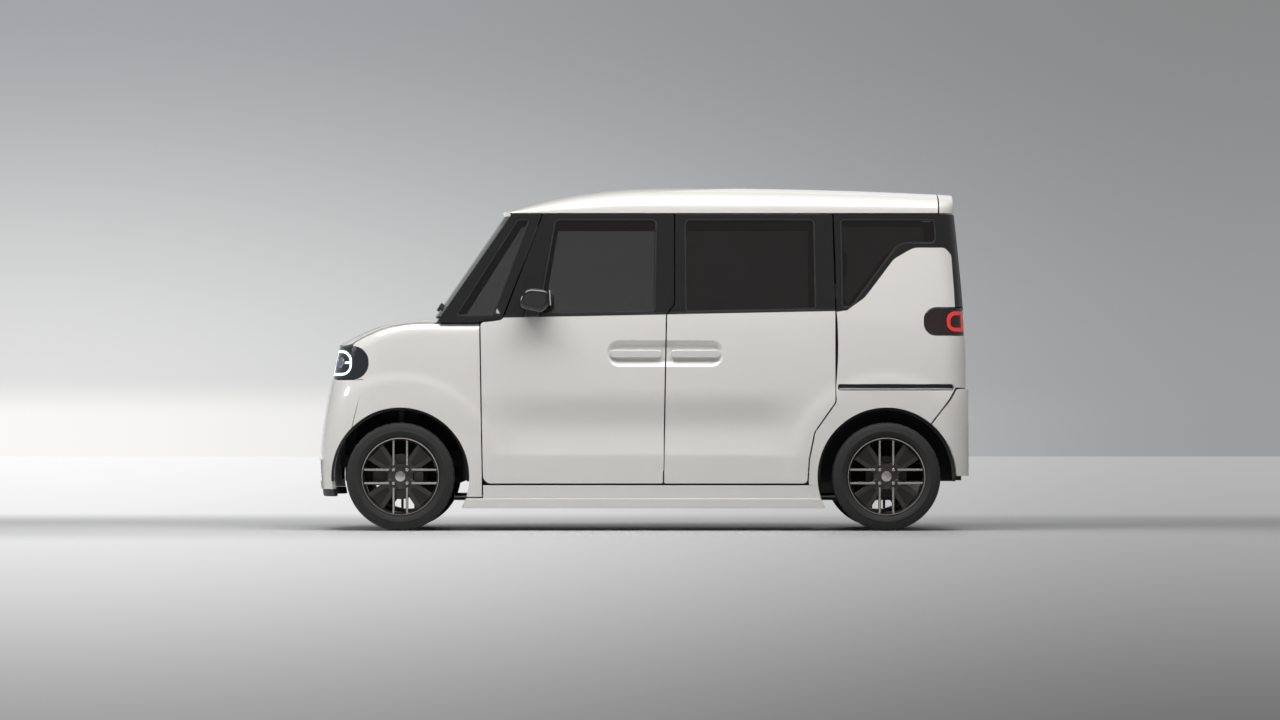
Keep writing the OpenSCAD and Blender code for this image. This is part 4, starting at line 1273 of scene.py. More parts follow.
    def pane(
        self, shop: Workshop, name: str, outline: list[Point], under: Callable[[float], Surface], finish: str
    ) -> None:
        """Builds a fixed window with its seal."""
        names = (f"window_seal_{name}", f"window_{name}")
        shop.window(names, outline, under, finish, self.side, "body", "side_glass", (0.03, 0.06))

    def sill(self, shop: Workshop) -> None:
        """Builds the sill between the wheels and its lower step."""
        skin, lines, word = self.lines.skin, self.lines, self.side.word
        x = lines.door_x + 0.0175
        outline = [
            *lines.arch(False, 207.0, 187.5), (x, 0.235), (x, 0.168), *lines.arch(True, -18.4, -27.0),
        ]
        panel = Panel(f"sill_{word}", outline, skin.on_side(), 0.03, pitch=(0.04, 0.02))
        shop.panel(panel, "paint", self.side, "body", "paint", "body_sides")
        step = [*lines.arch(False, 207.0, 198.5, 0.004), *lines.arch(True, -18.5, -27.0, 0.004)]
        strip = Panel(
            f"sill_step_{word}", step, skin.on_side(-0.006), 0.006, pitch=(0.05, 0.02), bevel=0.0025
        )
        shop.panel(strip, "paint", self.side, "body", "paint")

    def front_pillar(self, shop: Workshop) -> None:
        """Builds the black pillar beside the windscreen and its small glass."""
        skin, lines, word = self.lines.skin, self.lines, self.side.word
        a, z = skin.axle_f, skin.belt_z
        outline = [
            (a + 0.202, z - 0.011), (lines.door_x - skin.gap / 2.0, z - 0.011), (lines.door_x, z - 0.004),
            (a + 0.5265, z + 0.0095), (a + 0.7335, skin.drip_z - 0.001), (a + 0.577, skin.drip_z - 0.001),
            (a + 0.202, z + 0.011),
        ]
        glass = lines.front_quarter()
        panel = Panel(
            f"front_pillar_{word}", outline, skin.on_side(0.001), 0.055, [glass], (), (0.05, 0.05),
            bevel=0.004
        )
        shop.panel(panel, "black_gloss", self.side, "body", "black_trim", "body_sides")
        self.pane(shop, f"front_quarter_{word}", glass, skin.on_side, "glass_front")


def mirrored_outline(half: Sequence[Point]) -> list[Point]:
    """Closes a half outline, from the middle line round the left side and back, with its mirror image."""
    return [*half, *[(-u, v) for u, v in reversed(half) if abs(u) > 1e-6]]


def box_outline(low: Point, high: Point, radius: float = 0.0) -> list[Point]:
    """Outline of a rectangle with rounded corners."""
    (a, b), (c, d) = low, high
    return rounded([(a, b, radius), (c, b, radius), (c, d, radius), (a, d, radius)], 5)


@dataclass(frozen=True)
class LampRing:
    """A lamp: smoked lens, glowing ring with its bars and small reflectors, laid on a body surface."""

    name: str
    outline: Sequence[Point]
    surface: Callable[[float], Surface]
    ring: Sequence[Point]
    stroke: float
    bars: Sequence[Sequence[Point]] = ()
    reflectors: Sequence[Corner] = ()

    def dress(
        self, shop: Workshop, side: Side, lens: str, glow: str, slot: str, node: str, out: Point3
    ) -> None:
        """Builds the lamp's pieces on one side.

        Args:
            shop: the workshop.
            side: the side of the car.
            lens: the finish of the lens.
            glow: the finish of the ring.
            slot: the record's material slot.
            node: the CAD node it stands for.
            out: direction out of the body.
        """
        word = f"{self.name}_{side.word}"
        body = Panel(
            f"{word}_lens", self.outline, self.surface(0.002), 0.036, pitch=(0.02, 0.02), bevel=0.002, out=out
        )
        shop.panel(body, lens, side, "body", slot, node)
        ring = Panel(
            f"{word}_ring", self.ring, self.surface(0.0006), 0.003, pitch=(0.015, 0.015), bevel=0.0006,
            out=out, ring=self.stroke,
        )
        shop.panel(ring, glow, side, "body", slot)
        for k, outline in enumerate(self.bars):
            bar = Panel(
                f"{word}_bar_{k}", outline, self.surface(0.0008), 0.003, pitch=(0.015, 0.015), bevel=0.0006,
                out=out,
            )
            shop.panel(bar, glow, side, "body", slot)
        for k, (u, v, r) in enumerate(self.reflectors):
            turns = [2.0 * math.pi * i / 28 for i in range(28)]
            for part, scale, depth, finish in (
                ("bezel", 1.0, 0.001, "steel"), ("eye", 0.74, 0.0004, "lamp_eye")
            ):
                circle = [(u + scale * r * math.cos(t), v + scale * r * math.sin(t)) for t in turns]
                disc = Panel(
                    f"{word}_{part}_{k}", circle, self.surface(depth), 0.004, pitch=(0.012, 0.012),
                    bevel=0.0012, out=out,
                )
                shop.panel(disc, finish, side, "body", slot)


@dataclass(frozen=True)
class FrontEnd:
    """Bumper, grille, headlamps, fenders, aprons and bonnet."""

    lines: Lines
    face_z: float = 0.785

    def at(self, x: float, z: float) -> Point:
        """Parameters on the nose's surface of a point in the side view."""
        return self.lines.skin.corner_length(True, x, z), z

    def bumper(self) -> list[Point]:
        """Outline of the bumper, over the arc length round the nose."""
        skin = self.lines.skin
        top = self.face_z - skin.gap / 2.0
        arch = self.lines.arch(True, 135.0, 190.6)
        half = [(0.0, top), self.at(skin.nose_x + 0.262, top), *[self.at(*p) for p in arch], (0.0, 0.215)]
        return mirrored_outline(half)

    def headlamp(self, grow: float = 0.0) -> list[Point]:
        """Points round the headlamp's rear end in the side view, from below to above."""
        x, half_gap = self.lines.skin.nose_x, self.lines.skin.gap / 2.0
        low, high = self.face_z + half_gap - grow, self.lines.skin.lip_z - half_gap + grow
        corners = [(x + 0.1, low, 0.0), (x + 0.277 + grow, low, 0.078 + grow),
                   (x + 0.277 + grow, high, 0.078 + grow), (x + 0.1, high, 0.0)]
        return rounded(corners)[1:-1]

    def fender(self) -> list[Point]:
        """Outline of the fender in the side view."""
        skin, lines = self.lines.skin, self.lines
        back = lines.door_x - skin.gap / 2.0
        stations = [skin.nose_x + 0.14 + (back - skin.nose_x - 0.14) * i / 60 for i in range(61)]
        top = [(x, skin.edge_z(x) - 0.0203) for x in stations if skin.edge_z(x) - 0.0203 > 0.9625]
        lamp = self.headlamp(0.0045)
        low = [(back + 0.014, 0.272), (back + 0.014, 0.176)]
        arch = lines.arch(True, -17.0, 133.5)
        return [
            *reversed(lamp), *[(lamp[0][0] + 0.055, self.face_z)], *reversed(arch), *reversed(low),
            *reversed(top)
        ]

    def bonnet(self) -> list[Point]:
        """Outline of the bonnet in plan, as station and width."""
        skin = self.lines.skin
        z, back = skin.lip_z, skin.cowl_x + 0.026
        base = skin.nose(z) + skin.nose_bow + skin.nose_r
        flat = skin.flank(base, z) - skin.nose_r
        half = [
            (back + (base - back) * i / 8, skin.edge_half(back + (base - back) * i / 8)) for i in range(9)
        ]
        for k in range(1, 10):
            turn = math.radians(10.0 * k)
            room = 0.008 + (skin.bonnet_edge - 0.008) * (1.0 - k / 9.0)
            half.append(
                (base - (skin.nose_r - room) * math.sin(turn), flat + (skin.nose_r - room) * math.cos(turn))
            )
        for i in range(1, 7):
            y = flat * (1.0 - i / 6.0)
            half.append((skin.nose(z) + skin.nose_bow * (y / flat) ** 2 + 0.008, y))
        rest = [(x, -y) for x, y in reversed(half[:-1])]
        return [*half, *rest, (skin.cowl_x, -0.3), (skin.cowl_x - 0.004, 0.0), (skin.cowl_x, 0.3)]

    def dress(self, shop: Workshop) -> None:
        """Builds the front's pieces."""
        skin = self.lines.skin
        ahead = (-1.0, 0.0, 0.0)
        intake = box_outline((-0.42, 0.255), (0.42, 0.365), 0.03)
        bumper = Panel(
            "front_bumper_skin", self.bumper(), skin.on_corner(True), 0.02, [intake], (), (0.024, 0.024),
            out=ahead,
        )
        shop.panel(bumper, "paint", Side.LEFT, "body", "paint", "front_bumper")
        mesh = Panel(
            "intake_mesh", box_outline((-0.419, 0.256), (0.419, 0.364), 0.029), skin.on_corner(True, 0.012),
            0.008, out=ahead
        )
        shop.panel(mesh, "dark_plastic", Side.LEFT, "body", "dark_plastic", "grille")
        for k in range(4):
            z = 0.276 + 0.0225 * k
            bar = Panel(
                f"intake_bar_{k}", box_outline((-0.405, z - 0.004), (0.405, z + 0.004), 0.003),
                skin.on_corner(True, 0.005), 0.008, pitch=(0.04, 0.02), bevel=0.002, out=ahead,
            )
            shop.panel(bar, "black_trim", Side.LEFT, "body", "black_trim")
        end = self.at(skin.axle_f - 0.352, 0.2)[0]
        dam = Panel(
            "air_dam", box_outline((-end, 0.177), (end, 0.2135)), skin.on_corner(True, 0.006), 0.02, out=ahead
        )
        shop.panel(dam, "dark_plastic", Side.LEFT, "body", "dark_plastic")
        low, high = self.face_z + skin.gap / 2.0, skin.lip_z - skin.gap / 2.0
        face = Panel(
            "grille_face", box_outline((-0.43, low), (0.43, high), 0.006), skin.on_corner(True, 0.012),
            0.016, out=ahead
        )
        shop.panel(face, "dark_plastic", Side.LEFT, "body", "dark_plastic", "grille")
        for k in range(3):
            z = low + 0.038 + 0.044 * k
            bar = Panel(
                f"grille_bar_{k}", box_outline((-0.425, z - 0.009), (0.425, z + 0.009), 0.006),
                skin.on_corner(True, 0.004), 0.009, pitch=(0.04, 0.01), bevel=0.003, out=ahead,
            )
            shop.panel(bar, "black_gloss", Side.LEFT, "body", "black_trim")
        lamp = [(0.4335, low), *[self.at(*p) for p in self.headlamp()], (0.4335, high)]
        eyes = [(0.52, 0.872, 0.028), (0.6, 0.872, 0.028)]
        tip, a, b = skin.nose_x + 0.191, low + 0.016, high - 0.016
        turn = rounded([(tip - 0.091, a, 0.0), (tip, a, 0.055), (tip, b, 0.055), (tip - 0.091, b, 0.0)])[1:-1]
        frame = [(0.452, a), *[self.at(*p) for p in turn], (0.452, b)]
        bar = box_outline((0.64, 0.866), (self.at(tip - 0.005, 0.872)[0], 0.878), 0.004)
        ring = LampRing("headlamp", lamp, lambda d: skin.on_corner(True, d), frame, 0.014, [bar], eyes)
        for side in Side:
            ring.dress(shop, side, "lamp_lens", "lamp_glow", "lamp", "headlamps", ahead)
            fender = Panel(
                f"front_fender_{side.word}", self.fender(), skin.fender, 0.018, pitch=(0.02, 0.02),
            )
            shop.panel(fender, "paint", side, "body", "paint", "front_fenders")
            apron = Panel(
                f"wheel_apron_{side.word}",
                box_outline((skin.axle_f - 0.3, 0.245), (skin.axle_f + 0.32, 0.83), 0.02),
                lambda u, v: Vector((u, -0.322, v)), 0.003, pitch=(0.2, 0.2), bevel=0.0,
            )
            shop.panel(apron, "felt", side, "body", "dark_plastic")
        bonnet = Panel(
            "bonnet_skin", self.bonnet(), skin.bonnet, 0.016, pitch=(0.025, 0.03), out=UP,
        )
        shop.panel(bonnet, "paint", Side.LEFT, "bonnet", "paint", "bonnet")


@dataclass(frozen=True)
class RearEnd:
    """Rear bumper, tailgate with its window and spoiler, and tail lamps."""

    lines: Lines
    gate_low: float = 0.56
    gate_high: float = 1.64
    split_z: float = 1.145

    def half_width(self, z: float) -> float:
        """Half width of the tailgate at a height."""
        skin = self.lines.skin
        return skin.flank(skin.tail(z) - skin.tail_r, z) - 0.103

    def on_gate(self, depth: float) -> Surface:
        """Surface of the tailgate over width and height."""
        return lambda y, z: Vector((self.lines.skin.tail(z) - depth, y, z))

    def bumper(self, wall: SideWall) -> list[Point]:
        """Outline of the rear bumper, over the arc length round the tail."""
        r = self.lines.skin.axle_r
        arch = self.lines.arch(False, 0.5, 49.2)
        half = [(0.0, 0.282), *[wall.at(*p) for p in arch], wall.at(r + 0.362, 0.735)]
        half += [wall.rear_edge(0.735), wall.rear_edge(0.64), wall.rear_edge(0.553), (0.0, 0.553)]
        return mirrored_outline(half)

    def gate(self) -> list[Point]:
        """Outline of the tailgate over width and height."""
        heights = [self.gate_low + (self.gate_high - self.gate_low) * i / 16 for i in range(17)]
        half = [(-self.half_width(z), z) for z in heights]
        return [*half, *[(-y, z) for y, z in reversed(half)]]

    def dress(self, shop: Workshop) -> None:
        """Builds the rear's pieces."""
        skin = self.lines.skin
        behind = (1.0, 0.0, 0.0)
        wall = SideWall(self.lines, Side.LEFT)
        bumper = Panel(
            "rear_bumper_skin", self.bumper(wall), skin.on_corner(False, 0.0, skin.tail_in), 0.02, (), (),
            (0.026, 0.026), out=behind,
        )
        shop.panel(bumper, "paint", Side.LEFT, "body", "paint", "rear_bumper")
        window = rounded(
            [(-0.545, 1.165, 0.05), (0.545, 1.165, 0.05), (0.505, 1.6, 0.05), (-0.505, 1.6, 0.05)]
        )
        lower = Panel(
            "tailgate_skin", self.gate(), self.on_gate(0.0), 0.03, (), [((0.0, self.split_z), (0.0, 1.0))],
            (0.05, 0.03), out=behind,
        )
        shop.panel(lower, "paint", Side.LEFT, "tailgate", "paint", "tailgate")
        upper = Panel(
            "tailgate_frame", self.gate(), self.on_gate(0.001), 0.05, [window],
            [((0.0, self.split_z), (0.0, -1.0))], (0.06, 0.05), out=behind,
        )
        shop.panel(upper, "black_gloss", Side.LEFT, "tailgate", "black_trim", "tailgate")
        shop.window(
            ("tailgate_seal", "tailgate_window"), window, self.on_gate, "glass_rear", Side.LEFT, "tailgate",
            "tailgate_glass", out=behind,
        )
        inner = Panel(
            "tailgate_trim", inset(self.gate(), 0.03), self.on_gate(0.036), 0.016, (),
            [((0.0, self.split_z - 0.01), (0.0, 1.0))], (0.08, 0.08), bevel=0.004, out=behind,
        )
        shop.panel(inner, "dark_plastic", Side.LEFT, "tailgate", "dark_plastic")
        self.spoiler(shop)
        for side in Side:
            points = [wall.at(*p) for p in wall.lamp(-0.001)]
            rear = [wall.rear_edge(1.155 - 0.14 * i / 6.0, 13.0) for i in range(7)]
            x, a, b = skin.axle_r + 0.313, 1.033, 1.138
            turn = rounded([(x + 0.2, a, 0.0), (x, a, 0.045), (x, b, 0.045), (x + 0.2, b, 0.0)])[1:-1]
            frame = [*[wall.at(*p) for p in turn], wall.rear_edge(b, 22.0), wall.rear_edge(a, 22.0)]
            ring = LampRing("tail_lamp", [*points, *rear], lambda d: skin.on_corner(False, d), frame, 0.02)
            ring.dress(shop, side, "tail_lens", "tail_glow", "tail_lamp", "tail_lamps", (0.5, -1.0, 0.0))

    def spoiler(self, shop: Workshop) -> None:
        """Builds the roof spoiler as closed sections joined from front to rear."""
        skin = self.lines.skin
        low, high = skin.roof_rear + skin.gap, skin.tail(skin.drip_z) - 0.004
        bm = bmesh.new()
        loops: list[list[bmesh.types.BMEdge]] = []
        for i in range(9):
            x = low + (high - low) * i / 8.0
            top = [skin.roof(x, 180.0 * k / 36.0) for k in range(37)]
            sole = [
                Vector((p.x, 0.97 * p.y, skin.drip_z + skin.gap / 2.0 + 0.001)) for p in reversed(top[1:-1])
            ]
            verts = [bm.verts.new(p) for p in [*top, *sole]]
            loops.append([bm.edges.new((a, b)) for a, b in zip(verts, [*verts[1:], verts[0]])])
        for a, b in zip(loops, loops[1:]):
            bmesh.ops.bridge_loops(bm, edges=[*a, *b])
        for loop in (loops[0], loops[-1]):
            bmesh.ops.contextual_create(bm, geom=loop)
        bmesh.ops.recalc_face_normals(bm, faces=bm.faces)
        obj = soften(obj_from(bm, "roof_spoiler", shop.finishes["paint"]), 0.002)
        shop.fit(obj, "tailgate", "paint", "tailgate")


@dataclass(frozen=True)
class Greenhouse:
    """Roof, windscreen and the wipers under it."""

    lines: Lines

    def dress(self, shop: Workshop) -> None:
        """Builds the roof and the windscreen."""
        skin = self.lines.skin
        roof = Panel(
            "roof_skin", box_outline((skin.roof_front, 0.0), (skin.roof_rear, 180.0)), skin.roof, 0.024,
            pitch=(0.04, 3.0), out=UP,
        )
        shop.panel(roof, "paint", Side.LEFT, "body", "paint", "roof_panel")
        ahead = (-1.0, 0.0, 0.4)
        low, high = skin.belt_z + 0.023, skin.drip_z - 0.002
        sheet = box_outline((-1.0, low), (1.0, high))
        glass = Panel(
            "windscreen_glass", sheet, skin.screen, 0.006, (), (), (0.08, 0.04), bevel=0.0, out=ahead
        )
        shop.panel(glass, "glass_front", Side.LEFT, "body", "glass", "windscreen")
        hole = box_outline((-0.93, low + 0.05), (0.93, high - 0.04), 0.04)
        rim = Panel(
            "windscreen_band", sheet, lambda v, z: skin.screen(v, z) + Vector((0.007, 0.0, 0.0)), 0.002,
            [hole], (), (0.08, 0.04), bevel=0.0, out=ahead,
        )
        shop.panel(rim, "black_trim", Side.LEFT, "body", "black_trim")
        for name, start, end in (("driver", 0.62, -0.22), ("passenger", 0.02, -0.7)):
            self.wiper(shop, name, start, end)

    def wiper(self, shop: Workshop, name: str, start: float, end: float) -> None:
        """Builds one wiper arm and blade that lie along the foot of the windscreen.

        Args:
            shop: the workshop.
            name: which wiper.
            start: the pivot's share of the screen's half width.
            end: the tip's share.
        """
        skin = self.lines.skin
        lift = Vector((-0.009, 0.0, 0.006))
        steps = [i / 12.0 for i in range(13)]
        spine = [
            skin.screen(
                start + (end - start) * t, skin.belt_z + 0.058 + 0.03 * math.sin(math.pi * t)
            ) + lift for t in steps
        ]
        arm = swept(spine[:8], [0.007 - 0.003 * i / 7.0 for i in range(8)], 8)
        shop.fit(obj_from(arm, f"wiper_arm_{name}", shop.finishes["black_trim"]), "body", "black_trim")
        blade = swept([p + Vector((0.006, 0.0, -0.006)) for p in spine[4:]], [0.0045] * len(spine[4:]), 6)
        shop.fit(obj_from(blade, f"wiper_blade_{name}", shop.finishes["rubber"]), "body", "black_trim")


def swept(path: Sequence[Vector], radii: Sequence[float], sides: int) -> bmesh.types.BMesh:
    """A round bar along a path.

    Args:
        path: the points on its middle line.
        radii: its radius at each point.
        sides: corners of its section.

    Returns:
        The closed mesh.
    """
    bm = bmesh.new()
    loops: list[list[bmesh.types.BMEdge]] = []
    for i, point in enumerate(path):
        ahead = (path[min(i + 1, len(path) - 1)] - path[max(i - 1, 0)]).normalized()
        u = ahead.orthogonal().normalized() if abs(ahead.z) > 0.95 else ahead.cross(
            Vector((0.0, 0.0, 1.0))
        ).normalized()
        v = ahead.cross(u)
        turns = [2.0 * math.pi * k / sides for k in range(sides)]
        verts = [bm.verts.new(point + (u * math.cos(t) + v * math.sin(t)) * radii[i]) for t in turns]
        loops.append([bm.edges.new((a, b)) for a, b in zip(verts, [*verts[1:], verts[0]])])
    for a, b in zip(loops, loops[1:]):
        bmesh.ops.bridge_loops(bm, edges=[*a, *b])
    for loop in (loops[0], loops[-1]):
        bmesh.ops.contextual_create(bm, geom=loop)
    bmesh.ops.recalc_face_normals(bm, faces=bm.faces)
    return bm


def spun(profile: Sequence[Point], steps: int) -> bmesh.types.BMesh:
    """Turns a closed profile of radius and height about the local Z axis.

    Args:
        profile: radius and height of each point, in order.
        steps: steps in the full turn.

    Returns:
        The closed mesh.
    """
    bm = bmesh.new()
    verts = [bm.verts.new((r, 0.0, w)) for r, w in profile]
    edges = [bm.edges.new((a, b)) for a, b in zip(verts, [*verts[1:], verts[0]])]
    bmesh.ops.spin(
        bm, geom=[*verts, *edges], cent=(0.0, 0.0, 0.0), axis=(0.0, 0.0, 1.0), angle=2.0 * math.pi,
        steps=steps,
        use_merge=True,
    )
    bmesh.ops.remove_doubles(bm, verts=bm.verts, dist=1e-5)
    bmesh.ops.recalc_face_normals(bm, faces=bm.faces)
    return bm


def block(outline: Sequence[Point], low: float, high: float, shrink: float = 1.0) -> bmesh.types.BMesh:
    """A block over an outline, whose upper face may be smaller."""
    bm = flat_sheet(outline)
    bmesh.ops.translate(bm, verts=bm.verts, vec=(0.0, 0.0, low))
    out = bmesh.ops.extrude_face_region(bm, geom=bm.faces[:])
    moved = [g for g in out["geom"] if isinstance(g, bmesh.types.BMVert)]
    middle = sum((v.co for v in moved), Vector()) / len(moved)
    bmesh.ops.translate(bm, verts=moved, vec=(0.0, 0.0, high - low))
    for vert in moved:
        vert.co.xy = middle.xy + (vert.co.xy - middle.xy) * shrink
    bmesh.ops.recalc_face_normals(bm, faces=bm.faces)
    return bm


def spin(bm: bmesh.types.BMesh, degrees: float) -> bmesh.types.BMesh:
    """Turns a mesh about Z."""
    bmesh.ops.transform(bm, matrix=Matrix.Rotation(math.radians(degrees), 4, "Z"), verts=bm.verts)
    return bm


def lay_across(bm: bmesh.types.BMesh, sign: float = 1.0) -> bmesh.types.BMesh:
    """Turns a block drawn in the side view so that its depth lies across the car."""
    for vert in bm.verts:
        vert.co = Vector((vert.co.x, sign * vert.co.z, vert.co.y))
    bmesh.ops.recalc_face_normals(bm, faces=bm.faces)
    return bm


@dataclass(frozen=True)
class RoadWheel:
    """One wheel with its tyre: local Z points out of the car."""

    skin: Skin
    front: bool
    side: Side
    track: float = 1.3

    @property
    def word(self) -> str:
        """The wheel's name in node and body names."""
        return f"{'front' if self.front else 'rear'}_{self.side.word}"

    @property
    def place(self) -> Matrix:
        """From the wheel's local frame to the car's frame."""
        x = self.skin.axle_f if self.front else self.skin.axle_r
        sign = float(self.side.value)
        turn = Matrix.Rotation(math.radians(-90.0 * sign), 4, "X")
        return Matrix.Translation((x, sign * self.track / 2.0, self.skin.wheel_z)) @ turn

    def add(
        self, shop: Workshop, bm: bmesh.types.BMesh, name: str, finish: str, slot: str, bevel: float = 0.0,
        *nodes: str
    ) -> None:
        """Puts a mesh of the wheel's frame in its place on the wheel."""
        bmesh.ops.transform(bm, matrix=self.place, verts=bm.verts)
        bmesh.ops.recalc_face_normals(bm, faces=bm.faces)
        obj = obj_from(bm, f"{name}_{self.word}", shop.finishes[finish], 35.0)
        if bevel:
            soften(obj, bevel)
        shop.fit(obj, f"wheel_{self.word}", slot, *nodes)

    def tyre(self) -> bmesh.types.BMesh:
        """The tyre with ring grooves and shoulder blocks."""
        half = [
            (0.1934, 0.0578), (0.203, 0.0618), (0.2035, 0.0665), (0.2075, 0.0705), (0.214, 0.076),
            (0.224, 0.0805), (0.2295, 0.0817), (0.231, 0.0825), (0.238, 0.0825), (0.2395, 0.0815),
            (0.25, 0.0805), (0.262, 0.0772), (0.270, 0.0722), (0.276, 0.0655), (0.2795, 0.055),
        ]
        tread = [
            (0.2805, 0.044), (0.2735, 0.043), (0.2735, 0.037), (0.2808, 0.036), (0.281, 0.016),
            (0.2735, 0.015), (0.2735, 0.009), (0.281, 0.008),
        ]
        rows = [*half, *tread]
        bm = spun([*rows, *[(r, -w) for r, w in reversed(rows)]], 108)
        blocks = []
        for face in bm.faces:
            middle = face.calc_center_median()
            r, w = math.hypot(middle.x, middle.y), abs(middle.z)
            step = int((math.degrees(math.atan2(middle.y, middle.x)) % 360.0) / (360.0 / 108.0))
            shoulder = 0.276 < r < 0.2803 and 0.044 < w < 0.062
            crown = r > 0.2795 and 0.016 < w < 0.036
            if (shoulder and step % 3 == 0) or (crown and step % 3 == 1):
                blocks.append(face)
        bmesh.ops.inset_individual(bm, faces=blocks, thickness=0.0025, depth=-0.004)
        return bm

    def dress(self, shop: Workshop) -> None:
        """Builds the wheel's pieces."""
        self.add(shop, self.tyre(), "tyre_tread", f"tyre_{self.word}", "tyre", 0.0, f"tyre_{self.word}")
        rim = [
            (0.187, -0.07), (0.203, -0.07), (0.203, -0.0625), (0.1925, -0.0585), (0.1925, 0.0575),
            (0.203, 0.0615), (0.203, 0.068), (0.2, 0.07), (0.1955, 0.069), (0.191, 0.062),
            (0.186, 0.045), (0.184, 0.02), (0.184, -0.06),
        ]
        self.add(shop, spun(rim, 96), "rim", "wheel_dark", "wheel", 0.0, f"wheel_{self.word}")
        lip = [(0.1972, 0.0692), (0.2002, 0.0698), (0.2002, 0.0708), (0.1972, 0.0702)]
        self.add(shop, spun(lip, 96), "rim_edge", "wheel_bright", "wheel")
        hub = [(0.0285, 0.012), (0.068, 0.012), (0.07, 0.036), (0.066, 0.044), (0.04, 0.05), (0.0285, 0.05)]
        self.add(shop, spun(hub, 64), "hub", "wheel_dark", "wheel")
        cap = [(0.0, 0.046), (0.028, 0.046), (0.0285, 0.056), (0.026, 0.061), (0.018, 0.0635), (0.0, 0.0645)]
        self.add(shop, spun(cap, 48), "hub_cap", "wheel_bright", "wheel")
        spoke = [(0.045, -0.032, 0.006), (0.19, -0.06, 0.0), (0.19, 0.06, 0.0), (0.045, 0.032, 0.006)]
        pad = [(0.085, -0.012, 0.01), (0.178, -0.034, 0.012), (0.178, 0.034, 0.012), (0.085, 0.012, 0.01)]
        for k in range(4):
            turn = 45.0 + 90.0 * k
            bm = spin(block(rounded(spoke, 4), 0.03, 0.05, 0.94), turn)
            self.add(shop, bm, f"spoke_{k}", "wheel_dark", "wheel", 0.004)
            bm = spin(block(rounded(pad, 5), 0.0495, 0.0515, 0.97), turn)
            self.add(shop, bm, f"spoke_pad_{k}", "wheel_black", "wheel", 0.0008)
            nut = bmesh.new()
            bmesh.ops.create_cone(nut, cap_ends=True, segments=6, radius1=0.0105, radius2=0.009, depth=0.016)
            bmesh.ops.translate(nut, verts=nut.verts, vec=(0.05, 0.0, 0.055))
            self.add(shop, spin(nut, turn), f"wheel_nut_{k}", "wheel_bright", "wheel", 0.0012)
        for k in range(8):
            turn = 90.0 * (k // 2)
            v = 0.035 if k % 2 else -0.035
            bar = [(0.052, v - 0.0075), (0.19, v - 0.0065), (0.19, v + 0.0065), (0.052, v + 0.0075)]
            bm = spin(block(bar, 0.034, 0.058, 0.99), turn)
            self.add(shop, bm, f"bar_{k}", "wheel_dark", "wheel", 0.002)
            edge = [(0.058, v - 0.0045), (0.188, v - 0.0042), (0.188, v + 0.0042), (0.058, v + 0.0045)]
            bm = spin(block(edge, 0.0578, 0.0592, 0.995), turn)
            self.add(shop, bm, f"bar_face_{k}", "wheel_bright", "wheel", 0.0006)


@dataclass(frozen=True)
class DoorMirror:
    """A door mirror: rounded housing, foot and glass."""

    lines: Lines
    side: Side

    def add(
        self, shop: Workshop, bm: bmesh.types.BMesh, name: str, finish: str, bevel: float, *nodes: str
    ) -> None:
        """Turns a block drawn in the side view to its side and fastens it to the door."""
        lay_across(bm, float(self.side.value))
        obj = obj_from(bm, f"{name}_{self.side.word}", shop.finishes[finish], 60.0)
        soften(obj, bevel, 4, 30.0)
        shop.fit(obj, f"door_{self.side.word}", "black_trim", *nodes)

    def dress(self, shop: Workshop) -> None:
        """Builds the mirror's pieces."""
        skin, a, z = self.lines.skin, self.lines.skin.axle_f, self.lines.skin.belt_z
        y = skin.flank(a + 0.68, z + 0.03)
        shape = rounded([
            (a + 0.6, z + 0.066, 0.04), (a + 0.735, z + 0.034, 0.04), (a + 0.78, z + 0.08, 0.04),
            (a + 0.775, z + 0.16, 0.04), (a + 0.642, z + 0.173, 0.065),
        ])
        node = f"mirror_{self.side.word}"
        self.add(shop, block(shape, y + 0.012, y + 0.15, 0.93), "mirror_body", "black_gloss", 0.02, node)
        foot = rounded([
            (a + 0.64, z + 0.018, 0.01), (a + 0.72, z + 0.018, 0.01), (a + 0.72, z + 0.07, 0.015),
            (a + 0.66, z + 0.08, 0.015),
        ])
        self.add(shop, block(foot, y + 0.001, y + 0.05, 0.9), "mirror_foot", "dark_plastic", 0.004)
        pane = rounded([
            (a + 0.7775, z + 0.075, 0.0), (a + 0.7835, z + 0.08, 0.0), (a + 0.7785, z + 0.155, 0.0),
            (a + 0.7725, z + 0.155, 0.0),
        ])
        self.add(shop, block(pane, y + 0.03, y + 0.138), "mirror_glass", "mirror", 0.001)


@dataclass(frozen=True)
class Pad:
    """One stuffed part of a seat, drawn as a side profile across a width."""

    name: str
    profile: Sequence[Corner]
    middle: float
    width: float

    def build(self, finish: bpy.types.Material) -> bpy.types.Object:
        """Builds the pad as a rounded closed block with an even mesh."""
        half = self.width / 2.0
        bm = lay_across(block(rounded(self.profile, 5), self.middle - half, self.middle + half))
        edges = [e for e in bm.edges if e.calc_face_angle(0.0) > 0.9]
        bmesh.ops.bevel(bm, geom=edges, offset=0.03, segments=4, profile=0.5, affect="EDGES", material=-1)
        obj = obj_from(bm, self.name, finish, 80.0)
        even = obj.modifiers.new("even", "REMESH")
        even.mode = "VOXEL"
        even.voxel_size = 0.013
        even.use_smooth_shade = True
        baked(obj)
        return obj


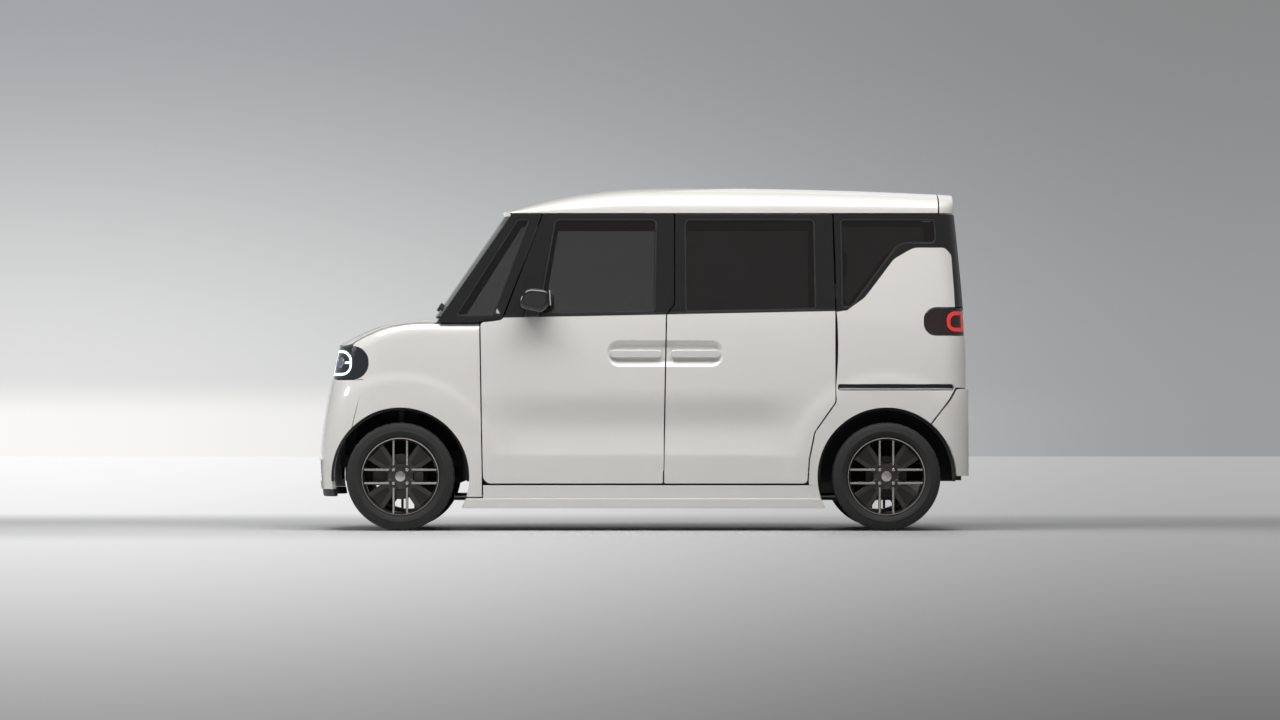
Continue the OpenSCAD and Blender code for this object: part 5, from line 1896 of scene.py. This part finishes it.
def puff(pads: Sequence[bpy.types.Object], most: float) -> None:
    """Inflates pads by a cloth simulation and keeps each point near its start.

    Args:
        pads: closed meshes.
        most: the most that a point may move, in metres.
    """
    starts = [[v.co.copy() for v in pad.data.vertices] for pad in pads]
    for pad in pads:
        cloth = pad.modifiers.new("cloth", "CLOTH")
        cloth.settings.use_pressure = True
        cloth.settings.uniform_pressure_force = 4.0
        cloth.settings.effector_weights.gravity = 0.0
        cloth.settings.quality = 4
    for frame in range(1, 21):
        bpy.context.scene.frame_set(frame)
    for pad, start in zip(pads, starts):
        baked(pad)
        for vert, old in zip(pad.data.vertices, start):
            move = vert.co - old
            vert.co = old + move.normalized() * min(most, move.length)
    bpy.context.scene.frame_set(1)


@dataclass(frozen=True)
class Cabin:
    """Seats with their head rests, dashboard pieces and roof lining."""

    lines: Lines

    def seat(self, name: str, x: float, middle: float, width: float) -> list[Pad]:
        """The pads of one seat."""
        cushion = [
            (x + 0.05, 0.31, 0.02), (x + 0.428, 0.31, 0.02), (x + 0.432, 0.48, 0.02),
            (x + 0.398, 0.622, 0.03), (x + 0.02, 0.645, 0.06), (x + 0.01, 0.5, 0.05), (x + 0.06, 0.47, 0.02),
        ]
        back = [
            (x + 0.44, 0.51, 0.01), (x + 0.522, 0.53, 0.03), (x + 0.602, 1.22, 0.04),
            (x + 0.512, 1.233, 0.04), (x + 0.414, 0.648, 0.02),
        ]
        return [
            Pad(f"{name}_cushion", cushion, middle, width - 0.02),
            Pad(f"{name}_back", back, middle, width - 0.04)
        ]

    def head_rest(self, name: str, x: float, middle: float) -> Pad:
        """The pad of one head rest."""
        profile = [
            (x + 0.508, 1.298, 0.03), (x + 0.592, 1.298, 0.03), (x + 0.606, 1.46, 0.035),
            (x + 0.526, 1.465, 0.035)
        ]
        return Pad(f"{name}_head_rest", profile, middle, 0.225)

    def dress(self, shop: Workshop) -> None:
        """Builds the cabin's pieces."""
        skin = self.lines.skin
        front, rear = skin.axle_f + 0.825, skin.axle_f + 1.725
        pads: list[tuple[Pad, str]] = []
        for word, y in (("left", -0.305), ("right", 0.305)):
            pads += [(pad, "front_seats") for pad in self.seat(f"front_seat_{word}", front, y, 0.52)]
            pads += [(pad, "rear_seat") for pad in self.seat(f"rear_seat_{word}", rear, y * 0.87, 0.53)]
            pads += [
                (self.head_rest(f"front_{word}", front, y), "front_seats"),
                (self.head_rest(f"rear_{word}", rear, y), "rear_seat")
            ]
            for k in (-0.06, 0.06):
                for name, x in (("front", front), ("rear", rear)):
                    post = swept([Vector((x + 0.552, y + k, z)) for z in (1.2, 1.25, 1.3)], [0.006] * 3, 12)
                    obj = obj_from(
                        post, f"head_rest_post_{name}_{word}_{'in' if k * y < 0 else 'out'}",
                        shop.finishes["steel"]
                    )
                    shop.fit(obj, "body", "steel")
        objs = [pad.build(shop.finishes["cloth"]) for pad, _ in pads]
        puff(objs, 0.012)
        for obj, (_, node) in zip(objs, pads):
            smooth = obj.modifiers.new("fine", "SUBSURF")
            smooth.levels = smooth.render_levels = 1
            shop.fit(obj, "body", "cloth", node)
        lining = Panel(
            "roof_lining", box_outline((skin.roof_front + 0.02, 8.0), (skin.roof_rear - 0.02, 172.0)),
            lambda x, a: Vector((skin.roof(x, a).x, skin.roof(x, a).y * 0.95, skin.roof(x, a).z - 0.034)),
            0.006, pitch=(0.08, 6.0), bevel=0.0, out=UP,
        )
        shop.panel(lining, "lining", Side.LEFT, "body", "cloth")
        self.dashboard(shop)

    def dashboard(self, shop: Workshop) -> None:
        """Builds the instrument hood, the centre screen and the vents."""
        a = self.lines.skin.axle_f
        vent = [(0.55, 0.94, 0.004), (0.566, 0.94, 0.004), (0.56, 0.995, 0.004), (0.545, 0.995, 0.004)]
        hood = [(0.4, 1.052, 0.01), (0.555, 1.03, 0.01), (0.56, 1.075, 0.02), (0.42, 1.095, 0.02)]
        screen = [(0.548, 0.9, 0.004), (0.562, 0.9, 0.004), (0.556, 1.05, 0.004), (0.542, 1.05, 0.004)]
        parts = [
            ("instrument_hood", hood, 0.305, 0.32, "dark_plastic"),
            ("centre_screen", screen, 0.0, 0.24, "black_gloss"),
            ("vent_left", vent, -0.47, 0.14, "black_trim"),
            ("vent_right", vent, 0.53, 0.1, "black_trim"),
        ]
        for name, profile, middle, width, finish in parts:
            corners = [(a + x, z, r) for x, z, r in profile]
            bm = lay_across(block(rounded(corners, 4), middle - width / 2.0, middle + width / 2.0))
            shop.fit(soften(obj_from(bm, name, shop.finishes[finish]), 0.004), "body", "dark_plastic")


@dataclass(frozen=True)
class Chassis:
    """CAD pieces that show as they are, with their finishes and softened edges."""

    finishes: Sequence[tuple[str, str, float]] = (
        ("floor_pan", "carpet", 0.004), ("inner_frame", "dark_plastic", 0.004), ("engine", "iron", 0.01),
        ("exhaust", "steel", 0.003), ("fuel_tank", "dark_plastic", 0.03), ("rear_axle", "iron", 0.003),
        ("front_suspension", "iron", 0.003),
        ("knuckle_left", "iron", 0.003), ("knuckle_right", "iron", 0.003),
        ("cowl_panel", "dark_plastic", 0.003), ("wheel_liners", "felt", 0.002),
        ("brake_disc_left", "disc", 0.001), ("brake_disc_right", "disc", 0.001),
        ("brake_drum_left", "iron", 0.004), ("brake_drum_right", "iron", 0.004),
        ("dashboard", "dark_plastic", 0.004), ("steering_wheel", "leather", 0.004),
    )

    def dress(self, nodes: dict[str, bpy.types.Object], shop: Workshop) -> None:
        """Puts finishes on the CAD nodes that are shown.

        Args:
            nodes: the frame's nodes by name.
            shop: the workshop.
        """
        for name, finish, width in self.finishes:
            node = nodes[name]
            node.data.materials.clear()
            node.data.materials.append(shop.finishes[finish])
            weld = node.modifiers.new("weld", "WELD")
            weld.merge_threshold = 0.00005
            soften(node, width)
            shop.made.append(name)


@dataclass(frozen=True)
class Studio:
    """Floor, background, lamps and camera."""

    centre: Point3 = (-0.01, 0.0, 0.885)
    distance: float = 37.0
    span: float = 6.63
    eye: float = 0.62
    side_y: float = 0.73
    spread: float = 0.088

    def dress(self) -> None:
        """Builds the surroundings."""
        scene = bpy.context.scene
        scene.view_settings.view_transform = "Standard"
        self.floor()
        self.world()
        self.lamp("sky_box", (0.0, -2.9, 6.5), (0.0, -0.7, 0.0), (10.0, 3.0), 560.0)
        self.lamp("front_box", (-1.0, -6.5, 9.5), (0.0, 0.0, 0.8), (10.0, 3.0), 200.0)
        self.lamp("low_key", (-11.0, -1.0, 4.6), (0.0, 0.0, 0.6), (2.2, 2.2), 240.0)
        self.lamp("rear_box", (4.0, 9.0, 5.0), (0.0, 0.0, 0.8), (8.0, 4.0), 50.0)
        self.camera()

    def floor(self) -> None:
        """Builds the floor: soft sheen, painted light and shade, plain light away from the car."""
        bm = bmesh.new()
        bmesh.ops.create_grid(bm, x_segments=24, y_segments=24, size=60.0)
        shader = Shader("floor")
        cloud = shader.noise(0.25)
        across, along = shader.axis("X"), shader.axis("Y")
        near = 1.0 / (along + self.distance + self.side_y)
        # painted light: the floor's colour is painted lighter towards the left of the view and darker to the
        # right
        left = (across * near * -1.0).above(-self.spread, self.spread)
        # painted shade: darker towards the camera; this painted tone goes into the base colour and into the
        # glow
        painted_light_tone = (1.0 - near.above(0.002, 0.08) * 0.66) * (left * 0.52 + 0.48)
        shader.put(
            Base_Color=shader.between(painted_light_tone * 0.9 + cloud * 0.03, (0.02, 0.02, 0.02), (0.86, 0.86, 0.86))
        )
        shader.put(Roughness=cloud * 0.1 + 0.36, Specular_IOR_Level=0.25)
        band = along.above(-4.0, -1.4) * (1.0 - along.above(1.2, 6.0))
        seen = shader.add("ShaderNodeLightPath", {}, {}, "Is Camera Ray")
        # away from the car the floor glows in the painted tone for camera rays, though it is no lamp
        shader.fade((1.0 - band) * seen, shader.between(painted_light_tone, (0.0, 0.0, 0.0), (1.0, 1.0, 1.0)))
        obj = obj_from(bm, "floor", shader.material)

    def world(self) -> None:
        """Builds a plain light all round, with a grey studio wall where the camera, metal and glass look."""
        world = bpy.data.worlds.new("studio")
        bpy.context.scene.world = world
        world.use_nodes = True
        nodes = Nodes(world.node_tree)
        look = nodes.add("ShaderNodeTexCoord", {}, {}, "Generated")
        up = nodes.add("ShaderNodeSeparateXYZ", {}, {0: look}, "Z")
        across = nodes.add("ShaderNodeSeparateXYZ", {}, {0: look}, "X")
        left = (across * -1.0).above(-self.spread, self.spread)
        rise = up.above(0.0, 0.06)
        bright = nodes.between(up.above(-0.001, 0.005), (0.95, 0.94, 0.93), (0.75, 0.755, 0.75))
        bright = nodes.between(rise, bright, (0.37, 0.375, 0.39))
        dull = nodes.between(rise, (0.33, 0.335, 0.345), (0.25, 0.252, 0.255))
        wall = nodes.between(left, dull, bright)
        wall = nodes.between(up.above(0.06, 0.3), wall, (0.22, 0.22, 0.225))
        rays = [
            nodes.add("ShaderNodeLightPath", {}, {}, f"Is {kind} Ray")
            for kind in ("Camera", "Glossy", "Transmission")
        ]
        seen = (rays[0] + rays[1] + rays[2]).above(0.0, 1.0)
        plain_light = nodes.add(
            "ShaderNodeBackground", {}, {"Color": (0.9, 0.93, 0.97, 1.0), "Strength": 0.14}
        )
        backdrop = nodes.add("ShaderNodeBackground", {}, {"Color": wall, "Strength": 1.0})
        mix = nodes.add("ShaderNodeMixShader", {}, {0: seen, 1: plain_light, 2: backdrop})
        output = world.node_tree.nodes.new("ShaderNodeOutputWorld")
        nodes.feed(output.inputs["Surface"], mix)

    def lamp(self, name: str, place: Point3, aim: Point3, size: Point, power: float) -> None:
        """Adds a soft rectangular lamp.

        Args:
            name: the lamp's name.
            place: where it stands.
            aim: the point it faces.
            size: width and height of its face.
            power: its power in watts.
        """
        data = bpy.data.lights.new(name, "AREA")
        data.shape = "RECTANGLE"
        data.size, data.size_y = size
        data.energy = power
        obj = bpy.data.objects.new(name, data)
        turn = (Vector(aim) - Vector(place)).to_track_quat("-Z", "Y")
        obj.matrix_world = Matrix.Translation(place) @ turn.to_matrix().to_4x4()
        bpy.context.scene.collection.objects.link(obj)

    def camera(self) -> None:
        """Adds the camera at the photograph's side view, for a 1280 by 720 picture."""
        data = bpy.data.cameras.new("photo_view")
        data.sensor_width = 36.0
        data.lens = 36.0 * self.distance / self.span
        data.clip_end = 400.0
        data.shift_y = (self.centre[2] - self.eye) / self.span
        obj = bpy.data.objects.new("photo_view", data)
        place = Vector((self.centre[0], -self.distance - self.side_y, self.eye))
        obj.matrix_world = Matrix.Translation(place) @ Matrix.Rotation(math.radians(90.0), 4, "X")
        bpy.context.scene.collection.objects.link(obj)
        bpy.context.scene.camera = obj


def finishes(skin: Skin) -> dict[str, bpy.types.Material]:
    """Makes every material.

    Args:
        skin: the body's surface, for the wheel centres.

    Returns:
        The materials by name.
    """
    found: list[Finish | ClothFinish | GlassFinish | RubberFinish] = [
        Finish("paint", (0.735, 0.715, 0.68), (0.775, 0.755, 0.72), 0.34, 0.04, 0.0, 0.9, 0.03, 3.0, 1400.0),
        Finish("handle", (0.80, 0.79, 0.77), (0.86, 0.85, 0.83), 0.22, 0.04, 0.35, 0.9, 0.03, 12.0),
        Finish("black_gloss", (0.008, 0.008, 0.008), (0.014, 0.013, 0.013), 0.16, 0.05, 0.0, 0.6, 0.04, 18.0),
        Finish("black_trim", (0.012, 0.012, 0.012), (0.02, 0.02, 0.02), 0.42, 0.08, bump=0.15),
        Finish("dark_plastic", (0.016, 0.016, 0.017), (0.03, 0.03, 0.031), 0.58, 0.1, bump=0.3),
        Finish("rubber", (0.01, 0.01, 0.01), (0.018, 0.018, 0.018), 0.7, 0.1, bump=0.2),
        Finish("felt", (0.008, 0.008, 0.008), (0.02, 0.02, 0.02), 0.92, 0.06, bump=0.6, sheen=0.2),
        Finish("carpet", (0.014, 0.014, 0.015), (0.03, 0.03, 0.031), 0.9, 0.06, bump=0.5, sheen=0.2),
        Finish("lining", (0.20, 0.19, 0.18), (0.27, 0.26, 0.25), 0.9, 0.06, bump=0.3),
        Finish("iron", (0.03, 0.029, 0.028), (0.075, 0.072, 0.07), 0.6, 0.2, 0.6, scale=24.0, bump=0.3),
        Finish("steel", (0.50, 0.50, 0.50), (0.66, 0.66, 0.66), 0.3, 0.12, 1.0, scale=40.0),
        Finish("disc", (0.07, 0.068, 0.065), (0.13, 0.126, 0.12), 0.45, 0.12, 0.9, scale=40.0),
        Finish("mirror", (0.72, 0.74, 0.76), (0.78, 0.8, 0.82), 0.04, 0.02, 1.0),
        Finish("leather", (0.012, 0.012, 0.012), (0.026, 0.025, 0.025), 0.5, 0.1, bump=0.5, grain=420.0),
        Finish("lamp_lens", (0.008, 0.009, 0.011), (0.016, 0.018, 0.022), 0.08, 0.03, 0.0, 1.0, 0.02),
        Finish("lamp_glow", (0.62, 0.80, 0.95), (0.80, 0.92, 1.0), 0.25, 0.05, glow=0.9),
        Finish("lamp_eye", (0.10, 0.13, 0.17), (0.2, 0.25, 0.32), 0.05, 0.03, 0.3, 1.0, 0.02),
        Finish("tail_lens", (0.012, 0.006, 0.006), (0.03, 0.01, 0.01), 0.08, 0.03, 0.0, 1.0, 0.02),
        Finish("tail_glow", (0.62, 0.02, 0.025), (0.80, 0.04, 0.04), 0.2, 0.05, 0.0, 0.8, 0.03, glow=0.35),
        Finish("wheel_dark", (0.045, 0.041, 0.038), (0.085, 0.078, 0.072), 0.34, 0.1, 0.75, 0.4, 0.06, 30.0),
        Finish("wheel_black", (0.012, 0.011, 0.011), (0.024, 0.022, 0.021), 0.4, 0.1, 0.4, 0.3),
        Finish("wheel_bright", (0.50, 0.47, 0.44), (0.66, 0.63, 0.60), 0.26, 0.1, 0.95, 0.3, 0.05, 60.0),
        ClothFinish("cloth", (0.022, 0.021, 0.022), (0.055, 0.052, 0.05)),
        GlassFinish("glass_front", (0.014, 0.012, 0.011), 0.52),
        GlassFinish("glass_rear", (0.012, 0.010, 0.009), 0.36),
    ]
    for front in (True, False):
        for side in Side:
            wheel = RoadWheel(skin, front, side)
            found.append(RubberFinish(f"tyre_{wheel.word}", tuple(wheel.place.translation)))
    return {finish.name: finish.make() for finish in found}


def main() -> None:
    """Loads the frame, dresses it and sets the studio."""
    logging.basicConfig(level=logging.INFO, format="%(name)s: %(message)s")
    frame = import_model()
    skin = Skin()
    lines = Lines(skin)
    shop = Workshop(skin, finishes(skin))
    for side in Side:
        SideDoor(lines, True, side).dress(shop)
        SideDoor(lines, False, side).dress(shop)
        SideWall(lines, side).dress(shop)
        DoorMirror(lines, side).dress(shop)
        for front in (True, False):
            RoadWheel(skin, front, side).dress(shop)
    FrontEnd(lines).dress(shop)
    RearEnd(lines).dress(shop)
    Greenhouse(lines).dress(shop)
    Cabin(lines).dress(shop)
    Chassis().dress(frame["nodes"], shop)
    Studio().dress()
    LOG.info("%d pieces", len(shop.made))


if __name__ == "__main__":
    main()
